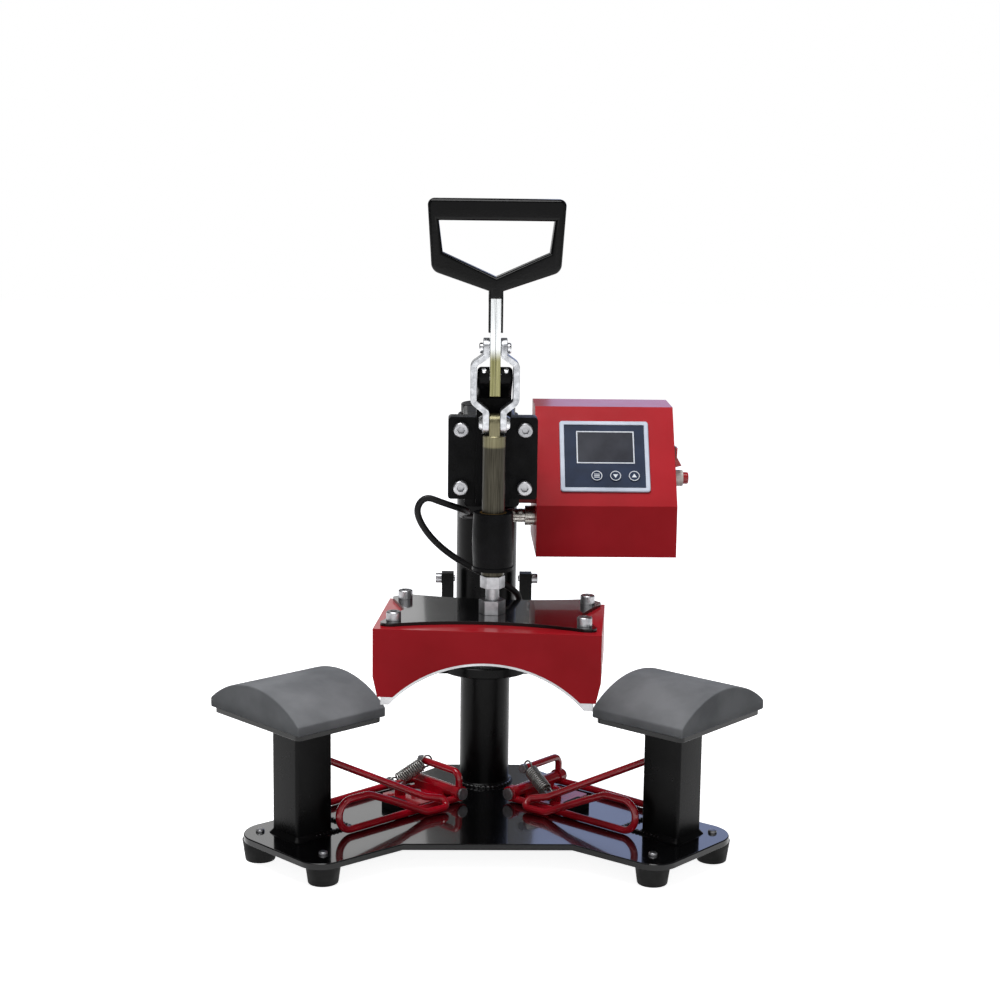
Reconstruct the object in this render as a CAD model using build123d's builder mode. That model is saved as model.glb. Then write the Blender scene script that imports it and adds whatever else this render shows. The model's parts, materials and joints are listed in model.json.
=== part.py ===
from build123d import *
from math import cos, hypot, pi, radians, sin, sqrt, tan
import os

# Twin-station cap heat press. Millimetres, +Z up, the operator stands on the -Y side.
# A fixed base carries two curved pads, and a head on the column swings between them.

os.makedirs("parts", exist_ok=True)

# ---------------------------------------------------------------- driving dimensions
# stand
foot_height = 21.0
foot_top_radius = 17.0
foot_bottom_radius = 14.0
foot_recess_radius = 6.5
foot_recess_depth = 9.0
foot_screw_radius = 2.5
foot_screw_head_radius = 4.2
foot_screw_head_height = 2.8
foot_screw_dome = 1.7
foot_nut_radius = 4.6
foot_nut_height = 4.0
base_thickness = 6.0
base_edge = 0.8
base_rear = 52.0
base_rear_half_width = 42.0
base_waist = (155.0, -84.0)
base_outer_corner = (244.0, -155.0)
base_front_corner = (155.0, -250.0)
base_front_notch = (79.0, -189.5)
base_rear_radius = 14.0
base_outer_radius = 30.0
base_front_radius = 24.0
outer_foot = (214.5, -156.0)
front_foot = (151.5, -216.0)
rear_foot = (0.0, 34.5)

# column and swing
column_radius = 25.0
column_wall = 4.0
column_over_arm = 63.0
weld_leg = 4.0
cap_radius = 27.0
cap_height = 9.0
cap_plug_depth = 14.0
collar_bottom = 146.0
collar_height = 10.0
collar_radius = 46.0
stop_post_x = 38.8
stop_post_y = -18.0
stop_post_width = 12.0
stop_post_flare = 3.0
stop_post_flare_rise = 54.0
stop_post_rise = 103.0
stop_screw_drop = 6.0
stop_screw_radius = 3.0
stop_screw_head_radius = 5.0
stop_screw_head_length = 6.0
stop_gap = 0.3
washer_radius = 33.0
washer_thickness = 2.0
sleeve_radius = 30.0
sleeve_wall = 3.5
sleeve_play = 1.0
bush_length = 32.0
running_clearance = 0.05
lug_width = 10.0
lug_reach = 9.0
lug_height = 16.0
station_angle = 48.0
station_radius = 240.0

# pad stations, length along the radius and width across it
post_length = 42.0
post_width = 38.0
post_wall = 3.0
post_corner = 3.0
post_inset = 5.0
post_top = 141.0
pad_plate_thickness = 5.0
pad_plate_margin = 2.0
pad_plate_corner = 6.0
pad_length = 102.0
pad_width = 134.0
pad_skirt = 9.0
pad_crown = 24.0
pad_edge = 1.2

# cap clamp frames, one bent rod each, hinged beside the column
rod_radius = 3.5
rod_lift = 0.5
hinge_distance = 65.0
hinge_height = 36.0
hinge_plate_thickness = 3.0
hinge_plate_inner = 56.0
hinge_plate_outer = 112.0
hinge_plate_front = 20.0
hinge_plate_rear = 30.0
hinge_tube_radius = 6.0
hinge_pin_radius = 4.0
hinge_pin_head_radius = 6.0
hinge_pin_head_height = 2.5
hinge_gap = 0.4
hinge_bolt_radius = 3.0
hinge_bolt_head_radius = 5.0
hinge_bolt_head_height = 4.0
eye_radius = 7.5
eye_width = 7.6
front_leg = 33.0
rear_leg = 41.0
frame_bend = 12.0
hairpin_bend = 5.0
arm_height = 57.0
arm_length = 49.0
arm_bend = 8.0
arm_nut_radius = 4.9
arm_nut_length = 5.0
arm_nut_offset = 4.5
anchor_distance = 100.0
anchor_height = 39.0
anchor_offset = 10.0
anchor_radius = 3.0
anchor_head_radius = 4.9
anchor_head_length = 3.0
anchor_tab_thickness = 3.0
anchor_tab_width = 12.0
anchor_tab_gap = 9.0
spring_wire_radius = 0.9
spring_radius = 6.1
spring_turns = 12
spring_hook_radius = 6.0
spring_hook_opening = 40.0
spring_samples = 500
front_bar_out = 217.0
front_bar_rise = 30.0
front_bar_bend = 14.5
front_dip_out = 182.0
front_dip_bend = 20.0
front_dip_end_out = 157.0
front_dip_rise = 19.0
front_dip_shift = 1.5
hairpin_out = 93.0
hairpin_run_out = 118.0
hairpin_shift = 14.5
hairpin_rise = 7.5
crossing_out = 110.0
crossing_rise = 11.0
rear_bar_out = 221.0
rear_bar_shift = 6.5
rear_bar_rise = 69.0
rear_bar_bend = 7.0
rear_tip_out = 229.0
rear_run_out = 102.0
rear_run_bend = 40.0
buffer_distance = 126.0
buffer_across = 7.0
buffer_length = 16.0
buffer_width = 26.0
buffer_height = 9.0

# swinging arm and clamp casting
arm_width = 50.0
arm_wall = 3.0
arm_corner = 4.0
arm_depth = 72.0
press_reach = 60.0
end_plate_thickness = 10.0
flange_width = 80.0
flange_height = 74.0
flange_over_arm = 10.5
flange_corner = 3.0
flange_thickness = 10.0
flange_screw_columns = 57.2
flange_screw_rows = 52.4
socket_screw_radius = 4.0
socket_head_radius = 6.5
socket_head_height = 8.0
socket_depth = 4.5
socket_hex_radius = 3.4
flange_screw_length = 18.0
barrel_radius = 18.3
barrel_belly = 1.0
barrel_rim = 3.0
barrel_length = 51.0
barrel_drop = 4.5
bush_wall = 2.0
plunger_radius = 10.0
web_width = 16.0
spine_width = 30.0
spine_depth = 15.0
spine_gap = 1.0

# toggle linkage
fork_width = 30.5
fork_edge = 3.6
fork_boss_radius = 8.5
fork_gap = 0.5
fork_shoulder_rise = 19.5
fork_reach = 29.0
fork_slot_clearance = 0.3
pivot_rise = 41.0
crank_length = 24.7
link_length = 65.4
pivot_radius = 5.0
link_pin_radius = 3.5
link_pin_head_radius = 4.7
link_pin_head_height = 3.2
link_side_gap = 0.35
lever_width = 18.0
lever_half = 4.5
lever_seam = 0.1
lever_tail = 17.0
lever_engagement = 14.0
link_thickness = 5.5
link_width = 18.0
link_bow = 10.9
link_bow_start = 7.2
link_bow_full = 15.0
link_bow_back = 45.0
link_bow_end = 53.7
link_joggle = 2.3
link_bow_round = 8.0
link_neck_round = 4.0
rivet_radius = 7.0
rivet_height = 3.2

# handle grip, drops are below its top
grip_reach = 152.5
grip_half_width = 59.4
grip_corner_half_width = 55.5
grip_corner_drop = 61.4
grip_window_top = 18.6
grip_window_half_width = 49.5
grip_window_corner_half_width = 46.0
grip_window_corner_drop = 45.6
grip_apex_drop = 66.3
grip_socket_drop = 85.0
grip_depth = 22.0
grip_edge = 3.5
grip_socket_wall = 1.7
grip_tang_gap = 14.0
grip_leg_drop = 12.0
grip_corner = 5.5
grip_lower_corner = 9.0

# plunger and heater
plunger_show = 5.5
plunger_shoulder_gap = 1.6
stud_radius = 6.0
stud_engagement = 20.0
lock_nut_across = 19.0
lock_nut_height = 10.9
lower_hex_across = 20.6
lower_hex_height = 12.5
heater_skew = 5.8
heater_half_width = 98.6
heater_half_depth = 58.5
stud_show = 37.2
heater_height = 60.6
heater_lift = 55.7
heater_shell = 1.5
heater_cut_width = 4.0
heater_cut_height = 17.8
heater_leg = 17.6
arch_rise = 32.6
platen_proud = 2.5
platen_thickness = 8.0
platen_foot_land = 11.0
platen_foot_drop = 7.3
element_radius = 4.0
element_step = 16.0
element_count = 5
heater_plate_thickness = 3.0
heater_plate_margin = 2.6
heater_plate_front = 50.0
heater_plate_front_waist = 33.0
heater_plate_rear = 66.0
heater_plate_rear_waist = 54.0
heater_notch_depth = 17.0
heater_plate_notch_y = 5.0
heater_plate_clip = 12.0
heater_plate_corner = 6.0
heater_screw_inset = 13.0
heater_screw_front = 37.0
heater_screw_rear = 48.0
heater_screw_length = 12.0
heater_gland_x = 20.2
heater_gland_drop = 17.3
heater_gland_radius = 6.0
heater_gland_barrel = 6.6
heater_gland_reach = 8.5
heater_gland_rise = 10.0
heater_gland_socket = 6.0
stud_nut_radius = 10.0
stud_nut_height = 5.0
weld_nut_radius = 6.5
weld_nut_height = 5.0
insulation_inset = 22.6

# control box, distances in front of the column axis
box_left = 44.0
box_right = 177.0
box_drop = 59.0
box_crease_drop = 10.0
box_rise = 76.5
box_front = 118.0
box_ridge = 56.0
box_rear = -3.0
box_wall = 1.5
cover_lip = 12.0
controller_x = 109.5
controller_up = 52.1
bezel_width = 85.4
bezel_height = 75.4
bezel_thickness = 2.2
bezel_corner = 3.0
controller_width = 76.8
controller_height = 66.8
controller_proud = 1.4
controller_depth = 34.0
controller_clearance = 0.2
window_width = 55.5
window_height = 34.7
window_thickness = 1.0
window_x = 0.9
window_up = 9.6
key_x = 9.7
key_down_slope = 21.1
key_spacing = 17.8
key_radius = 5.3
key_length = 3.0
key_proud = 1.1
key_clearance = 0.15
key_travel = 0.5
button_y = -60.0
button_rise = 8.0
button_barrel_radius = 8.0
button_tail_radius = 7.2
button_bore_radius = 5.95
button_stop = 4.5
button_barrel_length = 11.0
button_barrel_tail = 9.0
button_radius = 5.8
button_length = 16.5
button_proud = 5.5
rocker_y = -66.0
rocker_rise = 29.0
rocker_frame_width = 16.0
rocker_frame_height = 23.0
rocker_frame_thickness = 2.0
rocker_frame_margin = 1.6
rocker_frame_depth = 14.0
rocker_pocket_depth = 9.0
rocker_half_length = 9.0
rocker_half_width = 6.2
rocker_tip = 6.5
rocker_waist = 4.0
rocker_heel = 4.5
rocker_tilt = 14.0
rocker_pin_radius = 1.5
rocker_pin_length = 0.9
rocker_side_play = 0.3
rocker_end_play = 0.9
socket_y = -80.0
socket_drop = 26.3
socket_radius = 9.5
socket_bore = 5.5
socket_length = 9.4
socket_tail = 6.0
plug_radius = 6.5
plug_length = 19.6
inlet_x = 150.0
inlet_drop = 35.0
inlet_radius = 9.0
inlet_hex_radius = 11.0
inlet_length = 14.0
inlet_bore = 3.5
bracket_thickness = 3.0
bracket_left = -15.0
bracket_front = 104.0
bracket_back = 64.0
bracket_lip_drop = 10.0
bracket_side_rise = 47.0
small_screw_radius = 2.0
small_head_radius = 3.8
small_head_height = 2.2
cable_radius = 3.0
cable_clearance = 0.3

# ---------------------------------------------------------------- planes and derived sizes
arch_half_chord = heater_half_width - heater_leg
platen_foot_half_width = arch_half_chord + platen_foot_land
heater_plate_end = heater_half_width - heater_plate_margin
heater_plate_notch = heater_plate_end - heater_notch_depth
heater_screw_x = heater_plate_end - heater_screw_inset
insulation_half_width = heater_half_width - insulation_inset
heater_bottom = post_top + heater_lift
heater_top = heater_bottom + heater_height
plunger_bottom = heater_top + stud_show
barrel_bottom = plunger_bottom + plunger_show
barrel_top = barrel_bottom + barrel_length
flange_bottom = barrel_top + barrel_drop
flange_top = flange_bottom + flange_height
arm_bottom = flange_bottom - flange_over_arm
arm_top = arm_bottom + arm_depth
column_top = arm_bottom + column_over_arm
spine_bottom = barrel_top + spine_gap
fork_bottom = flange_top + fork_gap
fork_shoulder = flange_top + fork_shoulder_rise
pivot_height = flange_top + pivot_rise
stop_post_flare_top = collar_bottom + stop_post_flare_rise
stop_post_top = collar_bottom + stop_post_rise
stop_screw_height = stop_post_top - stop_screw_drop
box_bottom = arm_bottom - box_drop
box_crease = arm_bottom - box_crease_drop
box_top = arm_bottom + box_rise
button_z = arm_bottom + button_rise
rocker_z = arm_bottom + rocker_rise
socket_z = arm_bottom - socket_drop
inlet_z = arm_bottom - inlet_drop
bracket_lip_bottom = arm_bottom - bracket_lip_drop
bracket_side_top = arm_bottom + bracket_side_rise
heater_gland_z = heater_top - heater_gland_drop
heater_gland_top = heater_gland_z + heater_gland_rise
heater_reach = heater_half_depth * cos(radians(heater_skew)) + heater_half_width * sin(radians(heater_skew))
column_y = (station_radius + heater_reach - base_rear) / 2
ground = Plane(origin=(0, column_y, 0))
column_front = Plane(origin=(0, column_y, 0), x_dir=(1, 0, 0), z_dir=(0, -1, 0))
column_side = Plane(origin=(0, column_y, 0), x_dir=(0, 1, 0), z_dir=(1, 0, 0))
column_axis = Axis((0, column_y, 0), (0, 0, 1))
press_y = column_y - station_radius
press = Plane(origin=(0, press_y, 0))
press_front = Plane(origin=(0, press_y, 0), x_dir=(1, 0, 0), z_dir=(0, -1, 0))
press_side = Plane(origin=(0, press_y, 0), x_dir=(0, 1, 0), z_dir=(1, 0, 0))
press_axis = Axis((0, press_y, 0), (0, 0, 1))
heater = press.rotated((0, 0, -heater_skew))
heater_front = Plane(origin=(0, press_y, 0), x_dir=heater.x_dir, z_dir=-heater.y_dir)
slope_run = box_front - box_ridge
slope_rise = box_top - box_crease
slope = Plane(
    origin=(controller_x, column_y - box_front, box_crease),
    x_dir=(1, 0, 0),
    z_dir=(0, -slope_rise, slope_run),
)
panel = Plane(slope.location * Location((0, controller_up, 0)))

base_top = foot_height + base_thickness
rod_height = base_top + rod_lift + rod_radius
pad_bottom = post_top + pad_plate_thickness
sleeve_bottom = collar_bottom + collar_height + washer_thickness
sleeve_top = column_top - sleeve_play
sleeve_bore = sleeve_radius - sleeve_wall
end_plate_back = station_radius - press_reach
flange_back = end_plate_back + end_plate_thickness
flange_front = flange_back + flange_thickness
flange_middle = (flange_bottom + flange_top) / 2
seat_y = station_radius - flange_back
face_y = station_radius - flange_front
barrel_bore = plunger_radius + running_clearance + bush_wall
link_inner = lever_half + link_side_gap
tongue_half = lever_half
fork_slot_half = lever_half + fork_slot_clearance
upper_pin_height = pivot_height + crank_length
lower_pin_height = upper_pin_height - link_length
link_end_radius = link_width / 2
plunger_shoulder = lower_pin_height - link_end_radius - plunger_shoulder_gap
grip_top = pivot_height + grip_reach
grip_bottom = grip_top - grip_socket_drop
grip_tang_bottom = upper_pin_height + grip_tang_gap
lever_top = grip_bottom + lever_engagement
stud_top = plunger_bottom + stud_engagement
heater_plate_top = heater_top + heater_plate_thickness
arch_radius = (arch_half_chord**2 + arch_rise**2) / (2 * arch_rise)
arch_centre = heater_bottom + arch_rise - arch_radius
platen_radius = arch_radius - platen_proud
platen_back = platen_radius + platen_thickness
platen_foot = heater_bottom - platen_foot_drop
foot_spots = [
    (outer_foot[0], outer_foot[1]),
    (-outer_foot[0], outer_foot[1]),
    (front_foot[0], front_foot[1]),
    (-front_foot[0], front_foot[1]),
    rear_foot,
]
upward = (Align.CENTER, Align.CENTER, Align.MIN)
downward = (Align.CENTER, Align.CENTER, Align.MAX)


def station_plane(side, height=0.0):
    # Level plane on the column axis, X out along the left (-1) or right (1) station.
    swing = radians(station_angle)
    return Plane(origin=(0, column_y, height), x_dir=(side * sin(swing), -cos(swing), 0), z_dir=(0, 0, 1))


def station_place(side, out, across, height, tilt=(0, 0, 0)):
    # A place given out along the station, across it and up from the floor.
    return station_plane(side).location * Location((out, across, height), tilt)


def station_section(side, distance):
    # Upright plane across a station's radius, X across it and Y up.
    level = station_plane(side)
    return Plane(origin=level.origin + level.x_dir * distance, x_dir=level.y_dir, z_dir=level.x_dir)


def socket_screw(length):
    # Socket head screw standing on the origin, its shank below.
    with BuildPart() as screw:
        Cylinder(socket_head_radius, socket_head_height, align=upward)
        chamfer(screw.edges().filter_by(GeomType.CIRCLE).sort_by(Axis.Z)[-1], length=0.8)
        Cylinder(socket_screw_radius, length, align=downward)
        with BuildSketch(Plane.XY.offset(socket_head_height)):
            RegularPolygon(socket_hex_radius, 6)
        extrude(amount=-socket_depth, mode=Mode.SUBTRACT)
    return screw.part


# ---------------------------------------------------------------- base, feet and column
with BuildPart() as base_plate:
    with BuildSketch(ground.offset(foot_height)):
        with BuildLine():
            Polyline(
                (0, base_rear),
                (base_rear_half_width, base_rear),
                base_waist,
                base_outer_corner,
                base_front_corner,
                base_front_notch,
                (0, base_front_notch[1]),
            )
            mirror(about=Plane.YZ)
        make_face()
        fillet(vertices().group_by(Axis.X)[0] + vertices().group_by(Axis.X)[-1], radius=base_outer_radius)
        fillet(vertices().group_by(Axis.Y)[0], radius=base_front_radius)
        fillet(vertices().group_by(Axis.Y)[-1], radius=base_rear_radius)
    extrude(amount=base_thickness)
    chamfer(base_plate.faces().sort_by(Axis.Z)[-1].edges(), length=base_edge)
    with Locations(*[ground.location * Location((x, y, base_top)) for x, y in foot_spots]):
        Hole(foot_screw_radius, depth=base_thickness)
base_plate.part.label = "base_plate"
export_step(base_plate.part, "parts/base_plate.step")

with BuildPart(ground) as rubber_feet:
    with Locations(*[(x, y, 0) for x, y in foot_spots]):
        Cone(foot_bottom_radius, foot_top_radius, foot_height, align=upward)
        Cylinder(foot_recess_radius, foot_recess_depth, align=upward, mode=Mode.SUBTRACT)
        Cylinder(foot_screw_radius, foot_height, align=upward, mode=Mode.SUBTRACT)
rubber_feet.part.label = "rubber_feet"
export_step(rubber_feet.part, "parts/rubber_feet.step")

with BuildPart(ground) as foot_screws:
    with Locations(*[(x, y, base_top) for x, y in foot_spots]):
        Cylinder(foot_screw_head_radius, foot_screw_head_height, align=upward)
    fillet(foot_screws.edges().filter_by(GeomType.CIRCLE).group_by(Axis.Z)[-1], radius=foot_screw_dome)
    with Locations(*[(x, y, foot_recess_depth) for x, y in foot_spots]):
        Cylinder(foot_screw_radius, base_top - foot_recess_depth, align=upward)
        Cylinder(foot_nut_radius, foot_nut_height, align=downward)
foot_screws.part.label = "foot_screws"
export_step(foot_screws.part, "parts/foot_screws.step")

with BuildPart() as column:
    with BuildSketch(column_front):
        with BuildLine():
            Polyline(
                (column_radius - column_wall, base_top),
                (column_radius + weld_leg, base_top),
                (column_radius, base_top + weld_leg),
                (column_radius, column_top),
                (column_radius - column_wall, column_top),
                close=True,
            )
        make_face()
    revolve(axis=column_axis)
column.part.label = "column"
export_step(column.part, "parts/column.step")

with BuildPart(ground) as column_cap:
    with Locations((0, 0, column_top)):
        Cylinder(cap_radius, cap_height, align=upward)
    fillet(column_cap.edges().filter_by(GeomType.CIRCLE).sort_by(Axis.Z)[-1], radius=1.5)
    with Locations((0, 0, column_top)):
        Cylinder(column_radius - column_wall, cap_plug_depth, align=downward)
column_cap.part.label = "column_cap"
export_step(column_cap.part, "parts/column_cap.step")

with BuildPart(ground) as stop_collar:
    with Locations((0, 0, collar_bottom)):
        Cylinder(collar_radius, collar_height, align=upward)
    chamfer(stop_collar.edges().filter_by(GeomType.CIRCLE), length=0.8)
    with BuildSketch(column_front.offset(-stop_post_y - stop_post_width / 2)):
        with BuildLine():
            Polyline(
                (stop_post_x - stop_post_width / 2, collar_bottom),
                (stop_post_x + stop_post_width / 2 + stop_post_flare, collar_bottom),
                (stop_post_x + stop_post_width / 2 + stop_post_flare, collar_bottom + collar_height),
                (stop_post_x + stop_post_width / 2, stop_post_flare_top),
                (stop_post_x + stop_post_width / 2, stop_post_top),
                (stop_post_x - stop_post_width / 2, stop_post_top),
                close=True,
            )
        make_face()
        mirror(about=Plane.YZ)
    extrude(amount=stop_post_width)
    with Locations((0, 0, collar_bottom)):
        Cylinder(column_radius, collar_height, align=upward, mode=Mode.SUBTRACT)
    with Locations(Location((0, stop_post_y, stop_screw_height), (0, 90, 0))):
        Cylinder(stop_screw_radius, 3 * collar_radius, mode=Mode.SUBTRACT)
    with Locations(Location((0, column_radius, collar_bottom + collar_height / 2), (-90, 0, 0))):
        Cylinder(stop_screw_radius, collar_radius, align=upward, mode=Mode.SUBTRACT)
stop_collar.part.label = "stop_collar"
export_step(stop_collar.part, "parts/stop_collar.step")

stop_swing = radians(station_angle)
stop_tip = (lug_width / 2 + stop_gap + (stop_screw_radius - stop_post_y) * sin(stop_swing)) / cos(stop_swing)
stop_seat = stop_post_x + stop_post_width / 2
with BuildPart(ground) as collar_screws:
    for side in (-1, 1):
        with Locations(Location((side * stop_tip, stop_post_y, stop_screw_height), (0, side * 90, 0))):
            Cylinder(stop_screw_radius, stop_seat - stop_tip, align=upward)
        with Locations(Location((side * stop_seat, stop_post_y, stop_screw_height), (0, side * 90, 0))):
            Cylinder(stop_screw_head_radius, stop_screw_head_length, align=upward)
    with Locations(Location((0, column_radius, collar_bottom + collar_height / 2), (-90, 0, 0))):
        Cylinder(stop_screw_radius, collar_radius - column_radius, align=upward)
collar_screws.part.label = "collar_screws"
export_step(collar_screws.part, "parts/collar_screws.step")

with BuildPart(ground) as thrust_washer:
    with Locations((0, 0, collar_bottom + collar_height)):
        Cylinder(washer_radius, washer_thickness, align=upward)
        Cylinder(column_radius + running_clearance, washer_thickness, align=upward, mode=Mode.SUBTRACT)
thrust_washer.part.label = "thrust_washer"
export_step(thrust_washer.part, "parts/thrust_washer.step")

# ---------------------------------------------------------------- pad stations
post_centre = station_radius - post_inset
with BuildPart() as pad_posts:
    for side in (-1, 1):
        with BuildSketch(station_plane(side, base_top)):
            with Locations((post_centre, 0)):
                RectangleRounded(post_length, post_width, post_corner)
        extrude(amount=post_top - base_top)
        with BuildSketch(station_plane(side, base_top)):
            with Locations((post_centre, 0)):
                RectangleRounded(
                    post_length + 2 * weld_leg, post_width + 2 * weld_leg, post_corner + weld_leg
                )
        extrude(amount=weld_leg, taper=44)
        with BuildSketch(station_plane(side, base_top)):
            with Locations((post_centre, 0)):
                Rectangle(post_length - 2 * post_wall, post_width - 2 * post_wall)
        extrude(amount=post_top - base_top, mode=Mode.SUBTRACT)
pad_posts.part.label = "pad_posts"
export_step(pad_posts.part, "parts/pad_posts.step")

with BuildPart() as pad_plates:
    for side in (-1, 1):
        with BuildSketch(station_plane(side, post_top)):
            with Locations((station_radius, 0)):
                RectangleRounded(
                    pad_length - 2 * pad_plate_margin, pad_width - 2 * pad_plate_margin, pad_plate_corner
                )
        extrude(amount=pad_plate_thickness)
pad_plates.part.label = "pad_plates"
export_step(pad_plates.part, "parts/pad_plates.step")

with BuildPart() as silicone_pads:
    for side in (-1, 1):
        with BuildSketch(station_section(side, station_radius - pad_length / 2)):
            with BuildLine():
                Polyline(
                    (-pad_width / 2, pad_bottom + pad_skirt),
                    (-pad_width / 2, pad_bottom),
                    (pad_width / 2, pad_bottom),
                    (pad_width / 2, pad_bottom + pad_skirt),
                )
                ThreePointArc(
                    (pad_width / 2, pad_bottom + pad_skirt),
                    (0, pad_bottom + pad_skirt + pad_crown),
                    (-pad_width / 2, pad_bottom + pad_skirt),
                )
            make_face()
        extrude(amount=pad_length)
    fillet(silicone_pads.edges().filter_by(GeomType.CIRCLE), radius=pad_edge)
silicone_pads.part.label = "silicone_pads"
export_step(silicone_pads.part, "parts/silicone_pads.step")

# ---------------------------------------------------------------- cap frame hinges and springs
def leg_sides(side):
    # Places of a frame's two legs across its station, the one with the raised arm first.
    return (front_leg, -rear_leg) if side < 0 else (rear_leg, -front_leg)


def arm_end(side):
    return leg_sides(side)[0] - arm_length


def anchor_side(side):
    return arm_end(side) - anchor_offset


def tab_side(side):
    return anchor_side(side) + anchor_tab_gap + anchor_tab_thickness / 2


def plate_side(side):
    return side * (hinge_plate_rear - hinge_plate_front) / 2


hinge_plate_middle = (hinge_plate_inner + hinge_plate_outer) / 2
hinge_plate_length = hinge_plate_outer - hinge_plate_inner
hinge_plate_width = hinge_plate_front + hinge_plate_rear
hinge_plate_top = base_top + hinge_plate_thickness
hinge_bolt_distance = anchor_distance - anchor_tab_width

with BuildPart() as hinge_bases:
    for side in (-1, 1):
        armed, plain = leg_sides(side)
        tube_length = armed - plain - eye_width - 2 * hinge_gap
        tube_side = (armed + plain) / 2
        with BuildSketch(station_plane(side, base_top)):
            with Locations((hinge_plate_middle, plate_side(side))):
                RectangleRounded(hinge_plate_length, hinge_plate_width, hinge_plate_thickness)
        extrude(amount=hinge_plate_thickness)
        with BuildSketch(station_plane(side, hinge_plate_top)):
            with Locations((hinge_distance, plate_side(side))):
                Rectangle(2 * hinge_tube_radius, hinge_plate_width - 2 * hinge_plate_thickness)
        extrude(amount=hinge_height - hinge_plate_top)
        with BuildSketch(station_plane(side, hinge_plate_top)):
            with Locations((anchor_distance, tab_side(side))):
                Rectangle(anchor_tab_width, anchor_tab_thickness)
        extrude(amount=anchor_height - hinge_plate_top)
        with Locations(station_place(side, anchor_distance, tab_side(side), anchor_height, (90, 0, 0))):
            Cylinder(anchor_tab_width / 2, anchor_tab_thickness)
            Cylinder(anchor_radius, anchor_tab_thickness, mode=Mode.SUBTRACT)
        with Locations(station_place(side, hinge_distance, tube_side, hinge_height, (90, 0, 0))):
            Cylinder(hinge_tube_radius, tube_length)
            Cylinder(hinge_pin_radius, tube_length, mode=Mode.SUBTRACT)
        with Locations(station_place(side, hinge_bolt_distance, plate_side(side), base_top)):
            Cylinder(hinge_bolt_radius, hinge_plate_thickness, align=upward, mode=Mode.SUBTRACT)
hinge_bases.part.label = "hinge_bases"
export_step(hinge_bases.part, "parts/hinge_bases.step")

with BuildPart() as hinge_bolts:
    for side in (-1, 1):
        armed, plain = leg_sides(side)
        pin_length = armed - plain + eye_width + 2 * hinge_gap
        tube_side = (armed + plain) / 2
        with Locations(station_place(side, hinge_distance, tube_side, hinge_height, (90, 0, 0))):
            Cylinder(hinge_pin_radius, pin_length)
        for end in (-1, 1):
            head_side = tube_side + end * (pin_length + hinge_pin_head_height) / 2
            with Locations(station_place(side, hinge_distance, head_side, hinge_height, (90, 0, 0))):
                Cylinder(hinge_pin_head_radius, hinge_pin_head_height)
        with Locations(station_place(side, hinge_bolt_distance, plate_side(side), hinge_plate_top)):
            Cylinder(hinge_bolt_head_radius, hinge_bolt_head_height, align=upward)
            Cylinder(hinge_bolt_radius, hinge_plate_thickness, align=downward)
        bolt_start = anchor_side(side) - anchor_tab_gap / 2
        bolt_finish = tab_side(side) + anchor_tab_thickness / 2
        bolt_middle = (bolt_start + bolt_finish) / 2
        with Locations(station_place(side, anchor_distance, bolt_middle, anchor_height, (90, 0, 0))):
            Cylinder(anchor_radius, bolt_finish - bolt_start)
        for head_side in (bolt_start - anchor_head_length / 2, bolt_finish + anchor_head_length / 2):
            with Locations(station_place(side, anchor_distance, head_side, anchor_height, (90, 0, 0))):
                Cylinder(anchor_head_radius, anchor_head_length)
hinge_bolts.part.label = "hinge_bolts"
export_step(hinge_bolts.part, "parts/hinge_bolts.step")

with BuildPart() as rubber_buffers:
    for side in (-1, 1):
        with BuildSketch(station_plane(side, base_top)):
            with Locations((buffer_distance, -side * buffer_across)):
                RectangleRounded(buffer_length, buffer_width, rod_radius)
        extrude(amount=buffer_height)
    chamfer(rubber_buffers.faces().group_by(Axis.Z)[-1].edges(), length=1.5)
rubber_buffers.part.label = "rubber_buffers"
export_step(rubber_buffers.part, "parts/rubber_buffers.step")


def spring_knots(side):
    # Points of one tension spring's wire with its direction there, from hook to hook.
    level = station_plane(side)
    first = level.from_local_coords(Vector(hinge_distance, arm_end(side), arm_height))
    last = level.from_local_coords(Vector(anchor_distance, anchor_side(side), anchor_height))
    along = (last - first).normalized()
    sideways = (level.y_dir - along * level.y_dir.dot(along)).normalized()
    across = sideways.cross(along)
    pitch = ((last - first).length - 2 * spring_hook_radius) / spring_turns
    knots = []
    for angle in (spring_hook_opening, 90, 180, 270, 360):
        turn = radians(angle)
        outward = along * cos(turn) + across * sin(turn)
        knots.append((first + outward * spring_hook_radius, across * cos(turn) - along * sin(turn)))
    coil_start = first + along * spring_hook_radius
    for quarter in range(4 * spring_turns + 1):
        turn = radians(90 * quarter)
        rise = 0 if quarter in (0, 4 * spring_turns) else pitch / (2 * pi * spring_radius)
        outward = sideways * cos(turn) - across * sin(turn)
        heading = along * rise - sideways * sin(turn) - across * cos(turn)
        spot = coil_start + along * (pitch * quarter / 4) + outward * spring_radius
        knots.append((spot, heading.normalized()))
    for angle in (0, 90, 180, 270, 360 - spring_hook_opening):
        turn = radians(angle)
        outward = across * sin(turn) - along * cos(turn)
        knots.append((last + outward * spring_hook_radius, across * cos(turn) + along * sin(turn)))
    return knots


def biarc(start, start_heading, finish, finish_heading):
    # Two arcs that meet smoothly and keep the direction given at each end.
    gap = finish - start
    headings = start_heading + finish_heading
    spread = 2 * (1 - start_heading.dot(finish_heading))
    reach = (sqrt(gap.dot(headings) ** 2 + spread * gap.dot(gap)) - gap.dot(headings)) / spread
    joint = (start + finish + (start_heading - finish_heading) * reach) / 2
    TangentArc(start, joint, tangent=start_heading)
    TangentArc(joint, finish, tangent=gap - headings * reach)


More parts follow.
